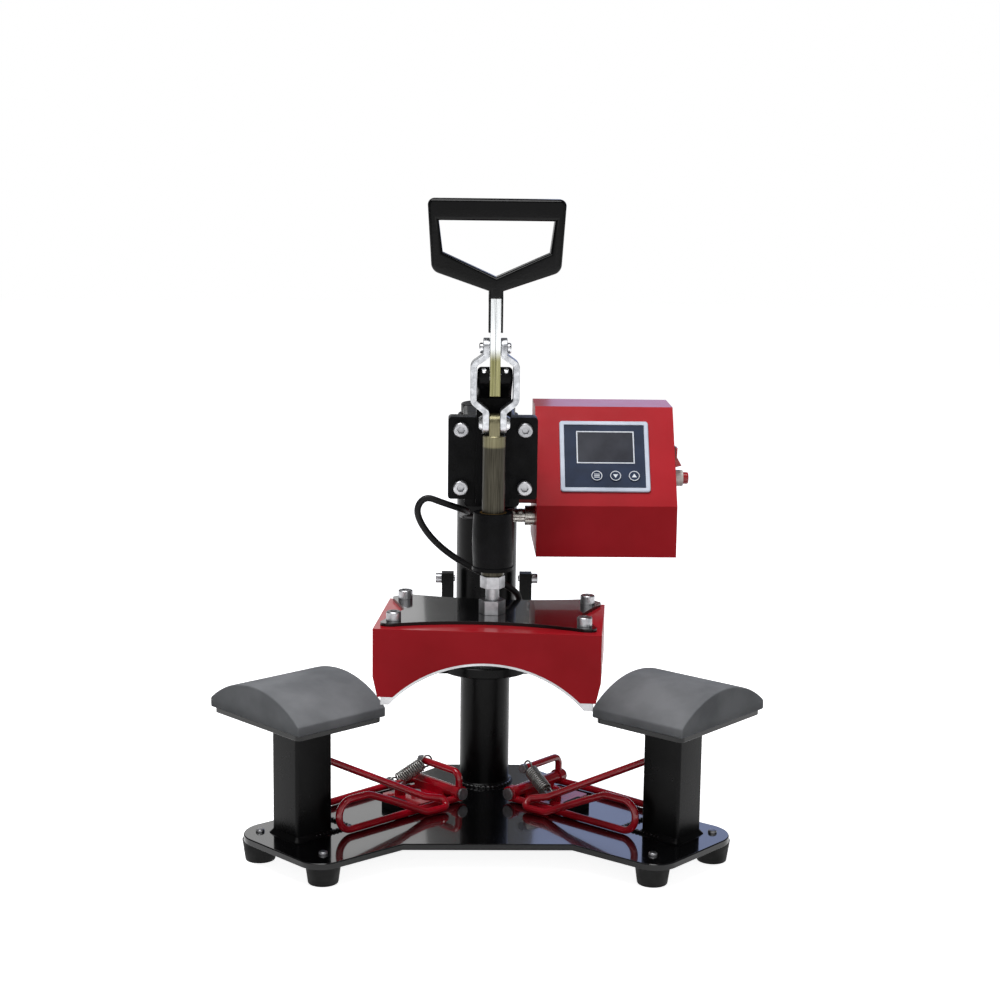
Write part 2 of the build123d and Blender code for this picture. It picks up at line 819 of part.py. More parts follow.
def least_gap(path):
    # Least clear distance between stretches of wire that lie more than half a turn apart.
    points = [path @ (index / spring_samples) for index in range(spring_samples + 1)]
    apart = int(pi * spring_radius / path.length * spring_samples)
    nearest = min(
        (points[one] - points[other]).length
        for one in range(len(points))
        for other in range(one + apart, len(points))
    )
    return nearest - 2 * spring_wire_radius


for side, name in ((-1, "left_spring"), (1, "right_spring")):
    knots = spring_knots(side)
    with BuildPart() as spring:
        with BuildLine() as wire:
            for (start, start_heading), (finish, finish_heading) in zip(knots, knots[1:]):
                biarc(start, start_heading, finish, finish_heading)
        with BuildSketch(Plane(origin=wire.wire() @ 0, z_dir=wire.wire() % 0)):
            Circle(spring_wire_radius)
        sweep(path=wire.wire())
    print(name, "least gap between turns", round(least_gap(wire.wire()), 2))
    spring.part.label = name
    export_step(spring.part, f"parts/{name}.step")


# ---------------------------------------------------------------- cap frames
def frame_route(side):
    # The bent rod's corners with the bend at each, from the front leg's eye to the rear leg's.
    corners = [
        ((hinge_distance, front_leg, rod_height), 0),
        ((front_bar_out, front_leg, rod_height), front_bar_bend),
        ((front_bar_out, front_leg, rod_height + front_bar_rise), front_bar_bend),
        ((front_dip_out, front_leg + front_dip_shift, rod_height + front_bar_rise), front_dip_bend),
        ((front_dip_end_out, front_leg + 3 * front_dip_shift, rod_height + front_dip_rise), front_dip_bend),
        ((hairpin_run_out, front_leg + 8 * front_dip_shift, rod_height + rod_lift), frame_bend),
        ((hairpin_out, front_leg + hairpin_shift, rod_height + rod_lift), hairpin_bend),
        ((hairpin_out, front_leg + hairpin_shift / 2, rod_height + hairpin_rise), hairpin_bend),
        ((crossing_out, front_leg - rod_lift, rod_height + crossing_rise), frame_bend),
        ((rear_bar_out, rear_bar_shift - rear_leg, rod_height + rear_bar_rise), rear_bar_bend),
        ((rear_tip_out, rear_bar_shift / 3 - rear_leg, rod_height), frame_bend),
        ((rear_run_out, -rod_radius / 2 - rear_leg, rod_height), rear_run_bend),
        ((hinge_distance, -rear_leg, rod_height), 0),
    ]
    level = station_plane(side)
    points = [level.from_local_coords((out, -side * front, up)) for (out, front, up), bend in corners]
    return points, [bend for place, bend in corners[1:-1]]


for side, name in ((-1, "left_cap_frame"), (1, "right_cap_frame")):
    points, bends = frame_route(side)
    armed, plain = leg_sides(side)
    level = station_plane(side)
    arm_tip = arm_end(side) - arm_nut_offset
    arm_points = [
        level.from_local_coords((hinge_distance, armed, hinge_height)),
        level.from_local_coords((hinge_distance, armed, arm_height)),
        level.from_local_coords((hinge_distance, arm_tip, arm_height)),
    ]
    with BuildPart() as cap_frame:
        with BuildLine() as rod:
            FilletPolyline(*points, radius=bends)
        with BuildSketch(Plane(origin=rod.wire() @ 0, z_dir=rod.wire() % 0)):
            Circle(rod_radius)
        sweep(path=rod.wire())
        with BuildLine() as arm:
            FilletPolyline(*arm_points, radius=arm_bend)
        with BuildSketch(Plane(origin=arm.wire() @ 0, z_dir=arm.wire() % 0)):
            Circle(rod_radius)
        sweep(path=arm.wire())
        for leg in (armed, plain):
            with Locations(station_place(side, hinge_distance, leg, hinge_height, (90, 0, 0))):
                Cylinder(eye_radius, eye_width)
                Cylinder(hinge_pin_radius + running_clearance, 2 * eye_width, mode=Mode.SUBTRACT)
    cap_frame.part.label = name
    export_step(cap_frame.part, f"parts/{name}.step")

for side, name in ((-1, "left_frame_fasteners"), (1, "right_frame_fasteners")):
    nut_side = arm_end(side) - arm_nut_offset - arm_nut_length / 2
    with BuildPart() as frame_nut:
        with BuildSketch(Plane(station_place(side, hinge_distance, nut_side, arm_height, (90, 0, 0)))):
            RegularPolygon(arm_nut_radius, 6)
        extrude(amount=arm_nut_length / 2, both=True)
    frame_nut.part.label = name
    export_step(frame_nut.part, f"parts/{name}.step")

# ---------------------------------------------------------------- swinging sleeve and arm
with BuildPart() as sleeve:
    with BuildSketch(ground.offset(sleeve_bottom)):
        Circle(sleeve_radius)
    extrude(amount=sleeve_top - sleeve_bottom)
    chamfer(sleeve.edges().filter_by(GeomType.CIRCLE), length=0.8)
    with BuildSketch(ground.offset(stop_screw_height - lug_height / 2)):
        with Locations((0, -(sleeve_bore + sleeve_radius + lug_reach) / 2)):
            Rectangle(lug_width, sleeve_wall + lug_reach)
    extrude(amount=lug_height)
    with BuildSketch(ground.offset(sleeve_bottom)):
        Circle(sleeve_bore)
    extrude(amount=sleeve_top - sleeve_bottom, mode=Mode.SUBTRACT)
sleeve.part.label = "sleeve"
export_step(sleeve.part, "parts/sleeve.step")

with BuildPart() as sleeve_bushes:
    for bottom in (sleeve_bottom, sleeve_top - bush_length):
        with BuildSketch(ground.offset(bottom)):
            Circle(sleeve_bore)
            Circle(column_radius + running_clearance, mode=Mode.SUBTRACT)
        extrude(amount=bush_length)
sleeve_bushes.part.label = "sleeve_bushes"
export_step(sleeve_bushes.part, "parts/sleeve_bushes.step")

with BuildPart(ground) as swing_arm:
    with BuildSketch(column_front):
        with Locations((0, (arm_bottom + arm_top) / 2)):
            RectangleRounded(arm_width, arm_top - arm_bottom, arm_corner)
    extrude(amount=end_plate_back)
    with BuildSketch(column_front):
        with Locations((0, (arm_bottom + arm_top) / 2)):
            Rectangle(arm_width - 2 * arm_wall, arm_top - arm_bottom - 2 * arm_wall)
    extrude(amount=end_plate_back - arm_wall, mode=Mode.SUBTRACT)
    with BuildSketch(column_front.offset(end_plate_back)):
        with Locations((0, flange_middle)):
            RectangleRounded(flange_width, flange_top - flange_bottom, flange_corner)
            with GridLocations(flange_screw_columns, flange_screw_rows, 2, 2):
                Circle(socket_screw_radius, mode=Mode.SUBTRACT)
    extrude(amount=end_plate_thickness)
    with Locations((0, 0, arm_bottom)):
        Cylinder(sleeve_radius, arm_top - arm_bottom, align=upward, mode=Mode.SUBTRACT)
swing_arm.part.label = "swing_arm"
export_step(swing_arm.part, "parts/swing_arm.step")

# ---------------------------------------------------------------- clamp casting
with BuildPart() as clamp_body:
    with BuildSketch(press_side.offset(-fork_width / 2)):
        with BuildLine():
            CenterArc((0, pivot_height), fork_boss_radius, 50, 170)
            Polyline(
                (fork_boss_radius * cos(radians(220)), pivot_height + fork_boss_radius * sin(radians(220))),
                (seat_y - fork_reach, fork_shoulder),
                (seat_y - fork_reach, fork_bottom),
                (seat_y, fork_bottom),
                (seat_y, fork_shoulder),
                (fork_boss_radius * cos(radians(50)), pivot_height + fork_boss_radius * sin(radians(50))),
            )
        make_face()
    extrude(amount=fork_width)
    cheek_faces = clamp_body.faces().filter_by(Axis.X)
    fillet(cheek_faces.edges().filter_by(lambda e: e.center().Z > fork_shoulder), radius=fork_edge)
    with BuildSketch(press_side.offset(-fork_slot_half)):
        with Locations((0, pivot_height)):
            Circle(hypot(lever_width / 2, lever_tail) + fork_slot_clearance)
            Rectangle(lever_width, 3 * lever_tail, align=(Align.MAX, Align.CENTER))
            Rectangle(lever_width, 2 * lever_tail, align=(Align.CENTER, Align.MIN))
    extrude(amount=2 * fork_slot_half, mode=Mode.SUBTRACT)
    with Locations(Location((0, press_y, pivot_height), (0, 90, 0))):
        Cylinder(pivot_radius, fork_width, mode=Mode.SUBTRACT)
    with BuildSketch(column_front.offset(flange_back)):
        with Locations((0, flange_middle)):
            RectangleRounded(flange_width, flange_top - flange_bottom, flange_corner)
            with GridLocations(flange_screw_columns, flange_screw_rows, 2, 2):
                Circle(socket_screw_radius, mode=Mode.SUBTRACT)
    extrude(amount=flange_thickness)
    with BuildSketch(column_front.offset(flange_back)):
        with Locations((0, (spine_bottom + fork_shoulder) / 2)):
            Rectangle(spine_width, fork_shoulder - spine_bottom)
    extrude(amount=spine_depth)
    with BuildSketch(press_side.offset(-web_width / 2)):
        with BuildLine():
            Polyline(
                (seat_y, fork_bottom),
                (seat_y, flange_bottom),
                (face_y, flange_bottom - web_width),
                (barrel_radius - barrel_belly, barrel_bottom + barrel_rim),
                (barrel_bore + barrel_belly, barrel_bottom + barrel_rim),
                (barrel_bore + barrel_belly, barrel_top),
                (seat_y - spine_depth - barrel_belly, barrel_top + barrel_rim),
                (seat_y - spine_depth - barrel_belly, fork_bottom),
                close=True,
            )
        make_face()
    extrude(amount=web_width)
    with BuildSketch(press_front):
        with BuildLine():
            Polyline(
                (barrel_radius, barrel_bottom + barrel_rim),
                (barrel_radius, barrel_bottom),
                (barrel_bore, barrel_bottom),
                (barrel_bore, barrel_top),
                (barrel_radius - barrel_belly, barrel_top),
            )
            ThreePointArc(
                (barrel_radius - barrel_belly, barrel_top),
                (barrel_radius, (barrel_bottom + barrel_top) / 2),
                (barrel_radius - barrel_belly, barrel_bottom + barrel_rim),
            )
            Line(
                (barrel_radius - barrel_belly, barrel_bottom + barrel_rim),
                (barrel_radius, barrel_bottom + barrel_rim),
            )
        make_face()
    revolve(axis=press_axis)
clamp_body.part.label = "clamp_body"
export_step(clamp_body.part, "parts/clamp_body.step")

flange_screw = socket_screw(flange_screw_length)
with BuildPart(column_front.offset(flange_front)) as clamp_screws:
    with Locations((0, flange_middle)):
        with GridLocations(flange_screw_columns, flange_screw_rows, 2, 2):
            add(flange_screw)
clamp_screws.part.label = "clamp_screws"
export_step(clamp_screws.part, "parts/clamp_screws.step")

with BuildPart() as rod_bush:
    with BuildSketch(press.offset(barrel_bottom)):
        Circle(barrel_bore)
        Circle(plunger_radius + running_clearance, mode=Mode.SUBTRACT)
    extrude(amount=barrel_top - barrel_bottom)
rod_bush.part.label = "rod_bush"
export_step(rod_bush.part, "parts/rod_bush.step")

with BuildPart() as fork_pin:
    with Locations(Location((0, press_y, pivot_height), (0, 90, 0))):
        Cylinder(pivot_radius, fork_width)
    chamfer(fork_pin.edges().filter_by(GeomType.CIRCLE), length=0.8)
fork_pin.part.label = "fork_pin"
export_step(fork_pin.part, "parts/fork_pin.step")

# ---------------------------------------------------------------- lever, links and grip
with BuildPart() as lever_plates:
    with BuildSketch(press_side.offset(lever_seam / 2)):
        with Locations((0, (pivot_height - lever_tail + lever_top) / 2)):
            RectangleRounded(lever_width, lever_top - pivot_height + lever_tail, 2)
        with Locations((0, pivot_height)):
            Circle(pivot_radius + running_clearance, mode=Mode.SUBTRACT)
        with Locations((0, upper_pin_height)):
            Circle(link_pin_radius, mode=Mode.SUBTRACT)
    extrude(amount=lever_half - lever_seam / 2)
    mirror(about=Plane.YZ)
lever_plates.part.label = "lever_plates"
export_step(lever_plates.part, "parts/lever_plates.step")

link_outer = link_inner + link_thickness
with BuildPart() as link_pin:
    with Locations(Location((0, press_y, upper_pin_height), (0, 90, 0))):
        Cylinder(link_pin_radius, 2 * (link_outer + link_side_gap))
    for side in (-1, 1):
        head_seat = side * (link_outer + link_side_gap)
        with Locations(Location((head_seat, press_y, upper_pin_height), (0, side * 90, 0))):
            Cylinder(link_pin_head_radius, link_pin_head_height, align=upward)
    fillet(link_pin.edges().filter_by(GeomType.CIRCLE).group_by(Axis.X)[0], radius=1.5)
    fillet(link_pin.edges().filter_by(GeomType.CIRCLE).group_by(Axis.X)[-1], radius=1.5)
link_pin.part.label = "link_pin"
export_step(link_pin.part, "parts/link_pin.step")

with BuildPart() as link_plates:
    with BuildSketch(press_front.offset(-link_width / 2)):
        with BuildLine():
            Polyline(
                (link_inner, upper_pin_height + link_end_radius),
                (link_inner, upper_pin_height - link_bow_start),
                (link_inner + link_bow, upper_pin_height - link_bow_full),
                (link_inner + link_bow, upper_pin_height - link_bow_back),
                (link_inner, upper_pin_height - link_bow_end),
                (link_inner, lower_pin_height - link_end_radius),
                (link_outer, lower_pin_height - link_end_radius),
                (link_outer, upper_pin_height - link_bow_end - link_joggle),
                (link_outer + link_bow, upper_pin_height - link_bow_back - link_joggle),
                (link_outer + link_bow, upper_pin_height - link_bow_full + link_joggle),
                (link_outer, upper_pin_height - link_bow_start + link_joggle),
                (link_outer, upper_pin_height + link_end_radius),
                close=True,
            )
        make_face()
        mirror(about=Plane.YZ)
        bow_corners = vertices().filter_by(lambda v: abs(v.X) > link_outer + link_bow - 0.1)
        fillet(bow_corners, radius=link_bow_round)
        neck_corners = vertices().filter_by(
            lambda v: abs(v.X) < link_inner + 0.1 and lower_pin_height < v.Y < upper_pin_height
        )
        fillet(neck_corners, radius=link_neck_round)
    extrude(amount=link_width)
    with BuildSketch(press_side.offset(-link_outer - link_bow)):
        with Locations((0, (upper_pin_height + lower_pin_height) / 2)):
            SlotCenterToCenter(link_length, link_width, rotation=90)
        with Locations((0, upper_pin_height)):
            Circle(link_pin_radius + running_clearance, mode=Mode.SUBTRACT)
        with Locations((0, lower_pin_height)):
            Circle(link_pin_radius, mode=Mode.SUBTRACT)
    extrude(amount=2 * (link_outer + link_bow), mode=Mode.INTERSECT)
link_plates.part.label = "link_plates"
export_step(link_plates.part, "parts/link_plates.step")

with BuildPart() as link_rivets:
    for side in (-1, 1):
        with Locations(Location((side * link_inner, press_y, lower_pin_height), (0, side * 90, 0))):
            Cylinder(link_pin_radius, link_thickness, align=upward)
        with Locations(Location((side * link_outer, press_y, lower_pin_height), (0, side * 90, 0))):
            Cone(rivet_radius, rivet_radius - 2, rivet_height, align=upward)
link_rivets.part.label = "link_rivets"
export_step(link_rivets.part, "parts/link_rivets.step")

socket_half = lever_half + grip_socket_wall
with BuildPart() as handle_grip:
    with BuildSketch(press_front.offset(-grip_depth / 2)):
        with BuildLine():
            Polyline(
                (0, grip_top),
                (grip_half_width, grip_top),
                (grip_corner_half_width, grip_top - grip_corner_drop),
                (socket_half, grip_top - grip_apex_drop - grip_leg_drop),
                (socket_half, grip_bottom),
                (0, grip_bottom),
            )
            mirror(about=Plane.YZ)
        make_face()
        fillet(vertices().filter_by(lambda v: v.Y > grip_top - 1 and abs(v.X) > 1), radius=grip_corner)
        lower_corners = vertices().filter_by(lambda v: abs(v.Y - grip_top + grip_corner_drop) < 1)
        fillet(lower_corners, radius=grip_lower_corner)
        with BuildLine():
            Polyline(
                (0, grip_top - grip_window_top),
                (grip_window_half_width, grip_top - grip_window_top),
                (grip_window_corner_half_width, grip_top - grip_window_corner_drop),
                (0, grip_top - grip_apex_drop),
            )
            mirror(about=Plane.YZ)
        make_face(mode=Mode.SUBTRACT)
    extrude(amount=grip_depth)
    fillet(handle_grip.faces().sort_by(Axis.Y)[0].edges(), radius=grip_edge)
    fillet(handle_grip.faces().sort_by(Axis.Y)[-1].edges(), radius=grip_edge)
    with BuildSketch(press_front.offset(-lever_width / 2)):
        with Locations((0, (grip_tang_bottom + grip_bottom + grip_edge) / 2)):
            Rectangle(2 * socket_half, grip_bottom + grip_edge - grip_tang_bottom)
    extrude(amount=lever_width)
    with BuildSketch(press.offset(grip_tang_bottom)):
        Rectangle(2 * lever_half, lever_width)
    extrude(amount=lever_top - grip_tang_bottom, mode=Mode.SUBTRACT)
handle_grip.part.label = "handle_grip"
export_step(handle_grip.part, "parts/handle_grip.step")

# ---------------------------------------------------------------- plunger and heater
with BuildPart() as plunger_rod:
    with BuildSketch(press.offset(plunger_bottom)):
        Circle(plunger_radius)
    extrude(amount=plunger_shoulder - plunger_bottom)
    chamfer(plunger_rod.edges().filter_by(GeomType.CIRCLE), length=0.8)
    with BuildSketch(press_side.offset(-tongue_half)):
        with Locations((0, (plunger_shoulder + lower_pin_height) / 2)):
            Rectangle(link_width, lower_pin_height - plunger_shoulder)
        with Locations((0, lower_pin_height)):
            Circle(link_end_radius)
    extrude(amount=2 * tongue_half)
    with BuildSketch(press.offset(plunger_bottom)):
        Circle(stud_radius)
    extrude(amount=stud_engagement, mode=Mode.SUBTRACT)
plunger_rod.part.label = "plunger_rod"
export_step(plunger_rod.part, "parts/plunger_rod.step")

with BuildPart(press) as heater_stud:
    with Locations((0, 0, heater_top - heater_shell - stud_nut_height)):
        Cylinder(stud_radius, stud_top - heater_top + heater_shell + stud_nut_height, align=upward)
    with BuildSketch(heater.offset(heater_plate_top)):
        RegularPolygon(lower_hex_across / 2, 6, major_radius=False)
    extrude(amount=lower_hex_height)
    with BuildSketch(heater.offset(heater_top - heater_shell)):
        RegularPolygon(stud_nut_radius, 6)
    extrude(amount=-stud_nut_height)
heater_stud.part.label = "heater_stud"
export_step(heater_stud.part, "parts/heater_stud.step")

with BuildPart() as lock_nut:
    with BuildSketch(press.offset(plunger_bottom - lock_nut_height)):
        RegularPolygon(lock_nut_across / 2, 6, major_radius=False)
        Circle(stud_radius, mode=Mode.SUBTRACT)
    extrude(amount=lock_nut_height)
lock_nut.part.label = "lock_nut"
export_step(lock_nut.part, "parts/lock_nut.step")

heater_screw_spots = [
    (side * heater_screw_x, across) for side in (-1, 1) for across in (-heater_screw_front, heater_screw_rear)
]
with BuildPart() as heater_plate:
    with BuildSketch(heater.offset(heater_top)):
        with BuildLine():
            lobe = heater_screw_x
            ThreePointArc(
                (-lobe, -heater_plate_front), (0, -heater_plate_front_waist), (lobe, -heater_plate_front)
            )
            Polyline(
                (lobe, -heater_plate_front),
                (heater_plate_end, -heater_plate_front),
                (heater_plate_notch, heater_plate_notch_y),
                (heater_plate_end, heater_plate_rear - heater_plate_clip),
                (lobe, heater_plate_rear),
            )
            ThreePointArc((lobe, heater_plate_rear), (0, heater_plate_rear_waist), (-lobe, heater_plate_rear))
            Polyline(
                (-lobe, heater_plate_rear),
                (-heater_plate_end, heater_plate_rear - heater_plate_clip),
                (-heater_plate_notch, heater_plate_notch_y),
                (-heater_plate_end, -heater_plate_front),
                (-lobe, -heater_plate_front),
            )
        make_face()
        plate_corners = vertices().filter_by(lambda v: abs(v.X) > heater_plate_notch + 1)
        fillet(plate_corners, radius=heater_plate_corner)
        Circle(stud_radius, mode=Mode.SUBTRACT)
        with Locations(*heater_screw_spots):
            Circle(socket_screw_radius, mode=Mode.SUBTRACT)
    extrude(amount=heater_plate_thickness)
heater_plate.part.label = "heater_plate"
export_step(heater_plate.part, "parts/heater_plate.step")

heater_screw = socket_screw(heater_screw_length)
with BuildPart(heater.offset(heater_plate_top)) as heater_screws:
    with Locations(*heater_screw_spots):
        add(heater_screw)
    with Locations(*[(x, y, -heater_plate_thickness - heater_shell) for x, y in heater_screw_spots]):
        Cylinder(weld_nut_radius, weld_nut_height, align=downward)
heater_screws.part.label = "heater_screws"
export_step(heater_screws.part, "parts/heater_screws.step")


def arch_sketch(radius, foot_height, half_width, top):
    # Face above an arch about the heater's curve centre, drawn with its height as Y.
    spring_x = sqrt(radius**2 - (foot_height - arch_centre) ** 2)
    with BuildSketch() as face:
        with BuildLine():
            Polyline(
                (spring_x, foot_height),
                (half_width, foot_height),
                (half_width, top),
                (-half_width, top),
                (-half_width, foot_height),
                (-spring_x, foot_height),
            )
            ThreePointArc((-spring_x, foot_height), (0, arch_centre + radius), (spring_x, foot_height))
        make_face()
    return face.sketch


housing_sketch = arch_sketch(arch_radius, heater_bottom, heater_half_width, heater_top)
with BuildPart() as heater_housing:
    with BuildSketch(heater_front.offset(-heater_half_depth)):
        add(housing_sketch)
        with BuildLine():
            Polyline(
                (heater_half_width, heater_bottom + heater_cut_height),
                (heater_half_width - heater_cut_width, heater_bottom),
                (heater_half_width, heater_bottom),
                close=True,
            )
        make_face(mode=Mode.SUBTRACT)
        with BuildLine():
            Polyline(
                (-heater_half_width, heater_bottom + heater_cut_height),
                (heater_cut_width - heater_half_width, heater_bottom),
                (-heater_half_width, heater_bottom),
                close=True,
            )
        make_face(mode=Mode.SUBTRACT)
    extrude(amount=2 * heater_half_depth)
    with BuildSketch(heater_front.offset(heater_shell - heater_half_depth)):
        with BuildLine():
            inner_half = heater_half_width - heater_shell
            Polyline(
                (0, heater_top - heater_shell),
                (inner_half, heater_top - heater_shell),
                (inner_half, heater_bottom + heater_cut_height),
                (inner_half - heater_cut_width, heater_bottom),
                (0, heater_bottom),
            )
            mirror(about=Plane.YZ)
        make_face()
    extrude(amount=2 * (heater_half_depth - heater_shell), mode=Mode.SUBTRACT)
    with BuildSketch(heater.offset(heater_top)):
        Circle(stud_radius)
        with Locations(*heater_screw_spots):
            Circle(socket_screw_radius)
    extrude(amount=-heater_shell, mode=Mode.SUBTRACT)
heater_housing.part.label = "heater_housing"
export_step(heater_housing.part, "parts/heater_housing.step")

inner_depth = heater_half_depth - heater_shell
with BuildPart() as heater_platen:
    with BuildSketch(heater_front.offset(-inner_depth)):
        with BuildLine():
            foot_x = sqrt(platen_radius**2 - (platen_foot - arch_centre) ** 2)
            back_x = sqrt(platen_back**2 - (heater_bottom - arch_centre) ** 2)
            ThreePointArc((-foot_x, platen_foot), (0, arch_centre + platen_radius), (foot_x, platen_foot))
            Polyline(
                (foot_x, platen_foot),
                (platen_foot_half_width, platen_foot),
                (platen_foot_half_width, heater_bottom),
                (back_x, heater_bottom),
            )
            ThreePointArc((back_x, heater_bottom), (0, arch_centre + platen_back), (-back_x, heater_bottom))
            Polyline(
                (-back_x, heater_bottom),
                (-platen_foot_half_width, heater_bottom),
                (-platen_foot_half_width, platen_foot),
                (-foot_x, platen_foot),
            )
        make_face()
    extrude(amount=2 * inner_depth)
heater_platen.part.label = "heater_platen"
export_step(heater_platen.part, "parts/heater_platen.step")

element_orbit = platen_back + element_radius
with BuildPart() as heater_element:
    with BuildSketch(heater_front.offset(element_radius - inner_depth)):
        for index in range(element_count):
            lean = radians((index - (element_count - 1) / 2) * element_step)
            with Locations((element_orbit * sin(lean), arch_centre + element_orbit * cos(lean))):
                Circle(element_radius)
    extrude(amount=2 * (inner_depth - element_radius))
heater_element.part.label = "heater_element"
export_step(heater_element.part, "parts/heater_element.step")

insulation_radius = platen_back + 2 * element_radius
insulation_foot = arch_centre + sqrt(insulation_radius**2 - insulation_half_width**2) + heater_shell
insulation_top = heater_top - heater_shell
insulation_sketch = arch_sketch(insulation_radius, insulation_foot, insulation_half_width, insulation_top)
with BuildPart() as heater_insulation:
    with BuildSketch(heater_front.offset(-inner_depth)):
        add(insulation_sketch)
    extrude(amount=2 * inner_depth)
    with BuildSketch(heater.offset(insulation_top)):
        Circle(stud_nut_radius)
    extrude(amount=-stud_nut_height, mode=Mode.SUBTRACT)
heater_insulation.part.label = "heater_insulation"
export_step(heater_insulation.part, "parts/heater_insulation.step")

gland_y = heater_half_depth + heater_gland_reach
with BuildPart(heater) as heater_gland:
    with Locations(Location((heater_gland_x, heater_half_depth, heater_gland_z), (-90, 0, 0))):
        Cylinder(heater_gland_radius, heater_gland_reach, align=upward)
    with Locations((heater_gland_x, gland_y, heater_gland_z - heater_gland_barrel)):
        Cylinder(heater_gland_barrel, heater_gland_top - heater_gland_z + heater_gland_barrel, align=upward)
    with Locations((heater_gland_x, gland_y, heater_gland_top)):
        Cylinder(cable_radius + cable_clearance, heater_gland_socket, align=downward, mode=Mode.SUBTRACT)
heater_gland.part.label = "heater_gland"
export_step(heater_gland.part, "parts/heater_gland.step")

# ---------------------------------------------------------------- control box
box_profile = [
    (-box_front, box_bottom),
    (-box_front, box_crease),
    (-box_ridge, box_top),
    (-box_rear, box_top),
    (-box_rear, box_bottom),
]
box_width = box_right - box_left
box_middle_x = (box_left + box_right) / 2
box_middle_z = (box_bottom + box_top) / 2
cover_width = box_width - 2 * box_wall
cover_height = box_top - box_bottom - 2 * box_wall
cover_screws = [
    (side * (cover_width / 2 + box_wall), box_middle_z + level * cover_height / 3)
    for side in (-1, 1) for level in (-1, 1)
]
cover_screw_y = -box_rear - cover_lip / 2
bracket_screws = [(-bracket_back - 8, height) for height in (box_crease + 20, bracket_side_top - 10)]

with BuildPart(ground) as control_box:
    with BuildSketch(column_side.offset(box_left)):
        with BuildLine():
            Polyline(*box_profile, close=True)
        make_face()
    extrude(amount=box_width)
    with BuildSketch(column_side.offset(box_left + box_wall)):
        with BuildLine():
            Polyline(*box_profile, close=True)
        make_face()
        offset(amount=-box_wall)
    extrude(amount=cover_width, mode=Mode.SUBTRACT)
    with BuildSketch(column_front.offset(box_rear)):
        with Locations((box_middle_x, box_middle_z)):
            Rectangle(cover_width, cover_height)
    extrude(amount=box_wall, mode=Mode.SUBTRACT)
    with BuildSketch(panel):
        Rectangle(controller_width + 2 * controller_clearance, controller_height + 2 * controller_clearance)
    extrude(amount=2 * box_wall, both=True, mode=Mode.SUBTRACT)
    with Locations(Location((box_right, button_y, button_z), (0, 90, 0))):
        Cylinder(button_tail_radius, 3 * box_wall, mode=Mode.SUBTRACT)
    with Locations((box_right, rocker_y, rocker_z)):
        Box(
            3 * box_wall,
            rocker_frame_width - rocker_frame_margin,
            rocker_frame_height - rocker_frame_margin,
            mode=Mode.SUBTRACT,
        )
    with Locations(Location((box_left, socket_y, socket_z), (0, 90, 0))):
        Cylinder(socket_bore, 3 * box_wall, mode=Mode.SUBTRACT)
    with Locations(*[Location((box_left, y, z), (0, 90, 0)) for y, z in bracket_screws]):
        Cylinder(small_screw_radius, 3 * box_wall, mode=Mode.SUBTRACT)
    with Locations(*[Location((box_middle_x + x, cover_screw_y, z), (0, 90, 0)) for x, z in cover_screws]):
        Cylinder(small_screw_radius, 3 * box_wall, mode=Mode.SUBTRACT)
control_box.part.label = "control_box"
export_step(control_box.part, "parts/control_box.step")

with BuildPart(ground) as box_cover:
    with BuildSketch(column_front.offset(box_rear)):
        with Locations((box_middle_x, box_middle_z)):
            Rectangle(cover_width, cover_height)
        with Locations((inlet_x, inlet_z)):
            Circle(inlet_radius, mode=Mode.SUBTRACT)
    extrude(amount=box_wall)
    for side in (-1, 1):
        with BuildSketch(column_front.offset(box_rear)):
            with Locations((box_middle_x + side * (cover_width - box_wall) / 2, box_middle_z)):
                Rectangle(box_wall, cover_height)
        extrude(amount=cover_lip)
    with Locations(*[Location((box_middle_x + x, cover_screw_y, z), (0, 90, 0)) for x, z in cover_screws]):
        Cylinder(small_screw_radius, 5 * box_wall, mode=Mode.SUBTRACT)
box_cover.part.label = "box_cover"
export_step(box_cover.part, "parts/box_cover.step")

with BuildPart(ground) as control_bracket:
    plate_middle_x = (bracket_left + box_left) / 2
    plate_middle_y = -(bracket_front + bracket_back) / 2
    with BuildSketch(ground.offset(arm_bottom - bracket_thickness)):
        with Locations((plate_middle_x, plate_middle_y)):
            Rectangle(box_left - bracket_left, bracket_front - bracket_back)
    extrude(amount=bracket_thickness)
    with BuildSketch(column_front.offset(bracket_front - bracket_thickness)):
        with Locations((plate_middle_x, (bracket_lip_bottom + arm_bottom - bracket_thickness) / 2)):
            Rectangle(box_left - bracket_left, arm_bottom - bracket_thickness - bracket_lip_bottom)
    extrude(amount=bracket_thickness)
    with BuildSketch(column_side.offset(box_left - bracket_thickness)):
        with BuildLine():
            Polyline(
                (-bracket_front, bracket_lip_bottom),
                (-bracket_front, box_crease + (box_front - bracket_front) * slope_rise / slope_run),
                ((bracket_side_top - box_crease) * slope_run / slope_rise - box_front, bracket_side_top),
                (-bracket_back, bracket_side_top),
                (-bracket_back, bracket_lip_bottom),
                close=True,
            )
        make_face()
    extrude(amount=bracket_thickness)
    with Locations(*[Location((box_left, y, z), (0, 90, 0)) for y, z in bracket_screws]):
        Cylinder(small_screw_radius, 3 * bracket_thickness, mode=Mode.SUBTRACT)
    with Locations((0, plate_middle_y, arm_bottom)):
        Cylinder(small_screw_radius, 3 * bracket_thickness, mode=Mode.SUBTRACT)
control_bracket.part.label = "control_bracket"
export_step(control_bracket.part, "parts/control_bracket.step")

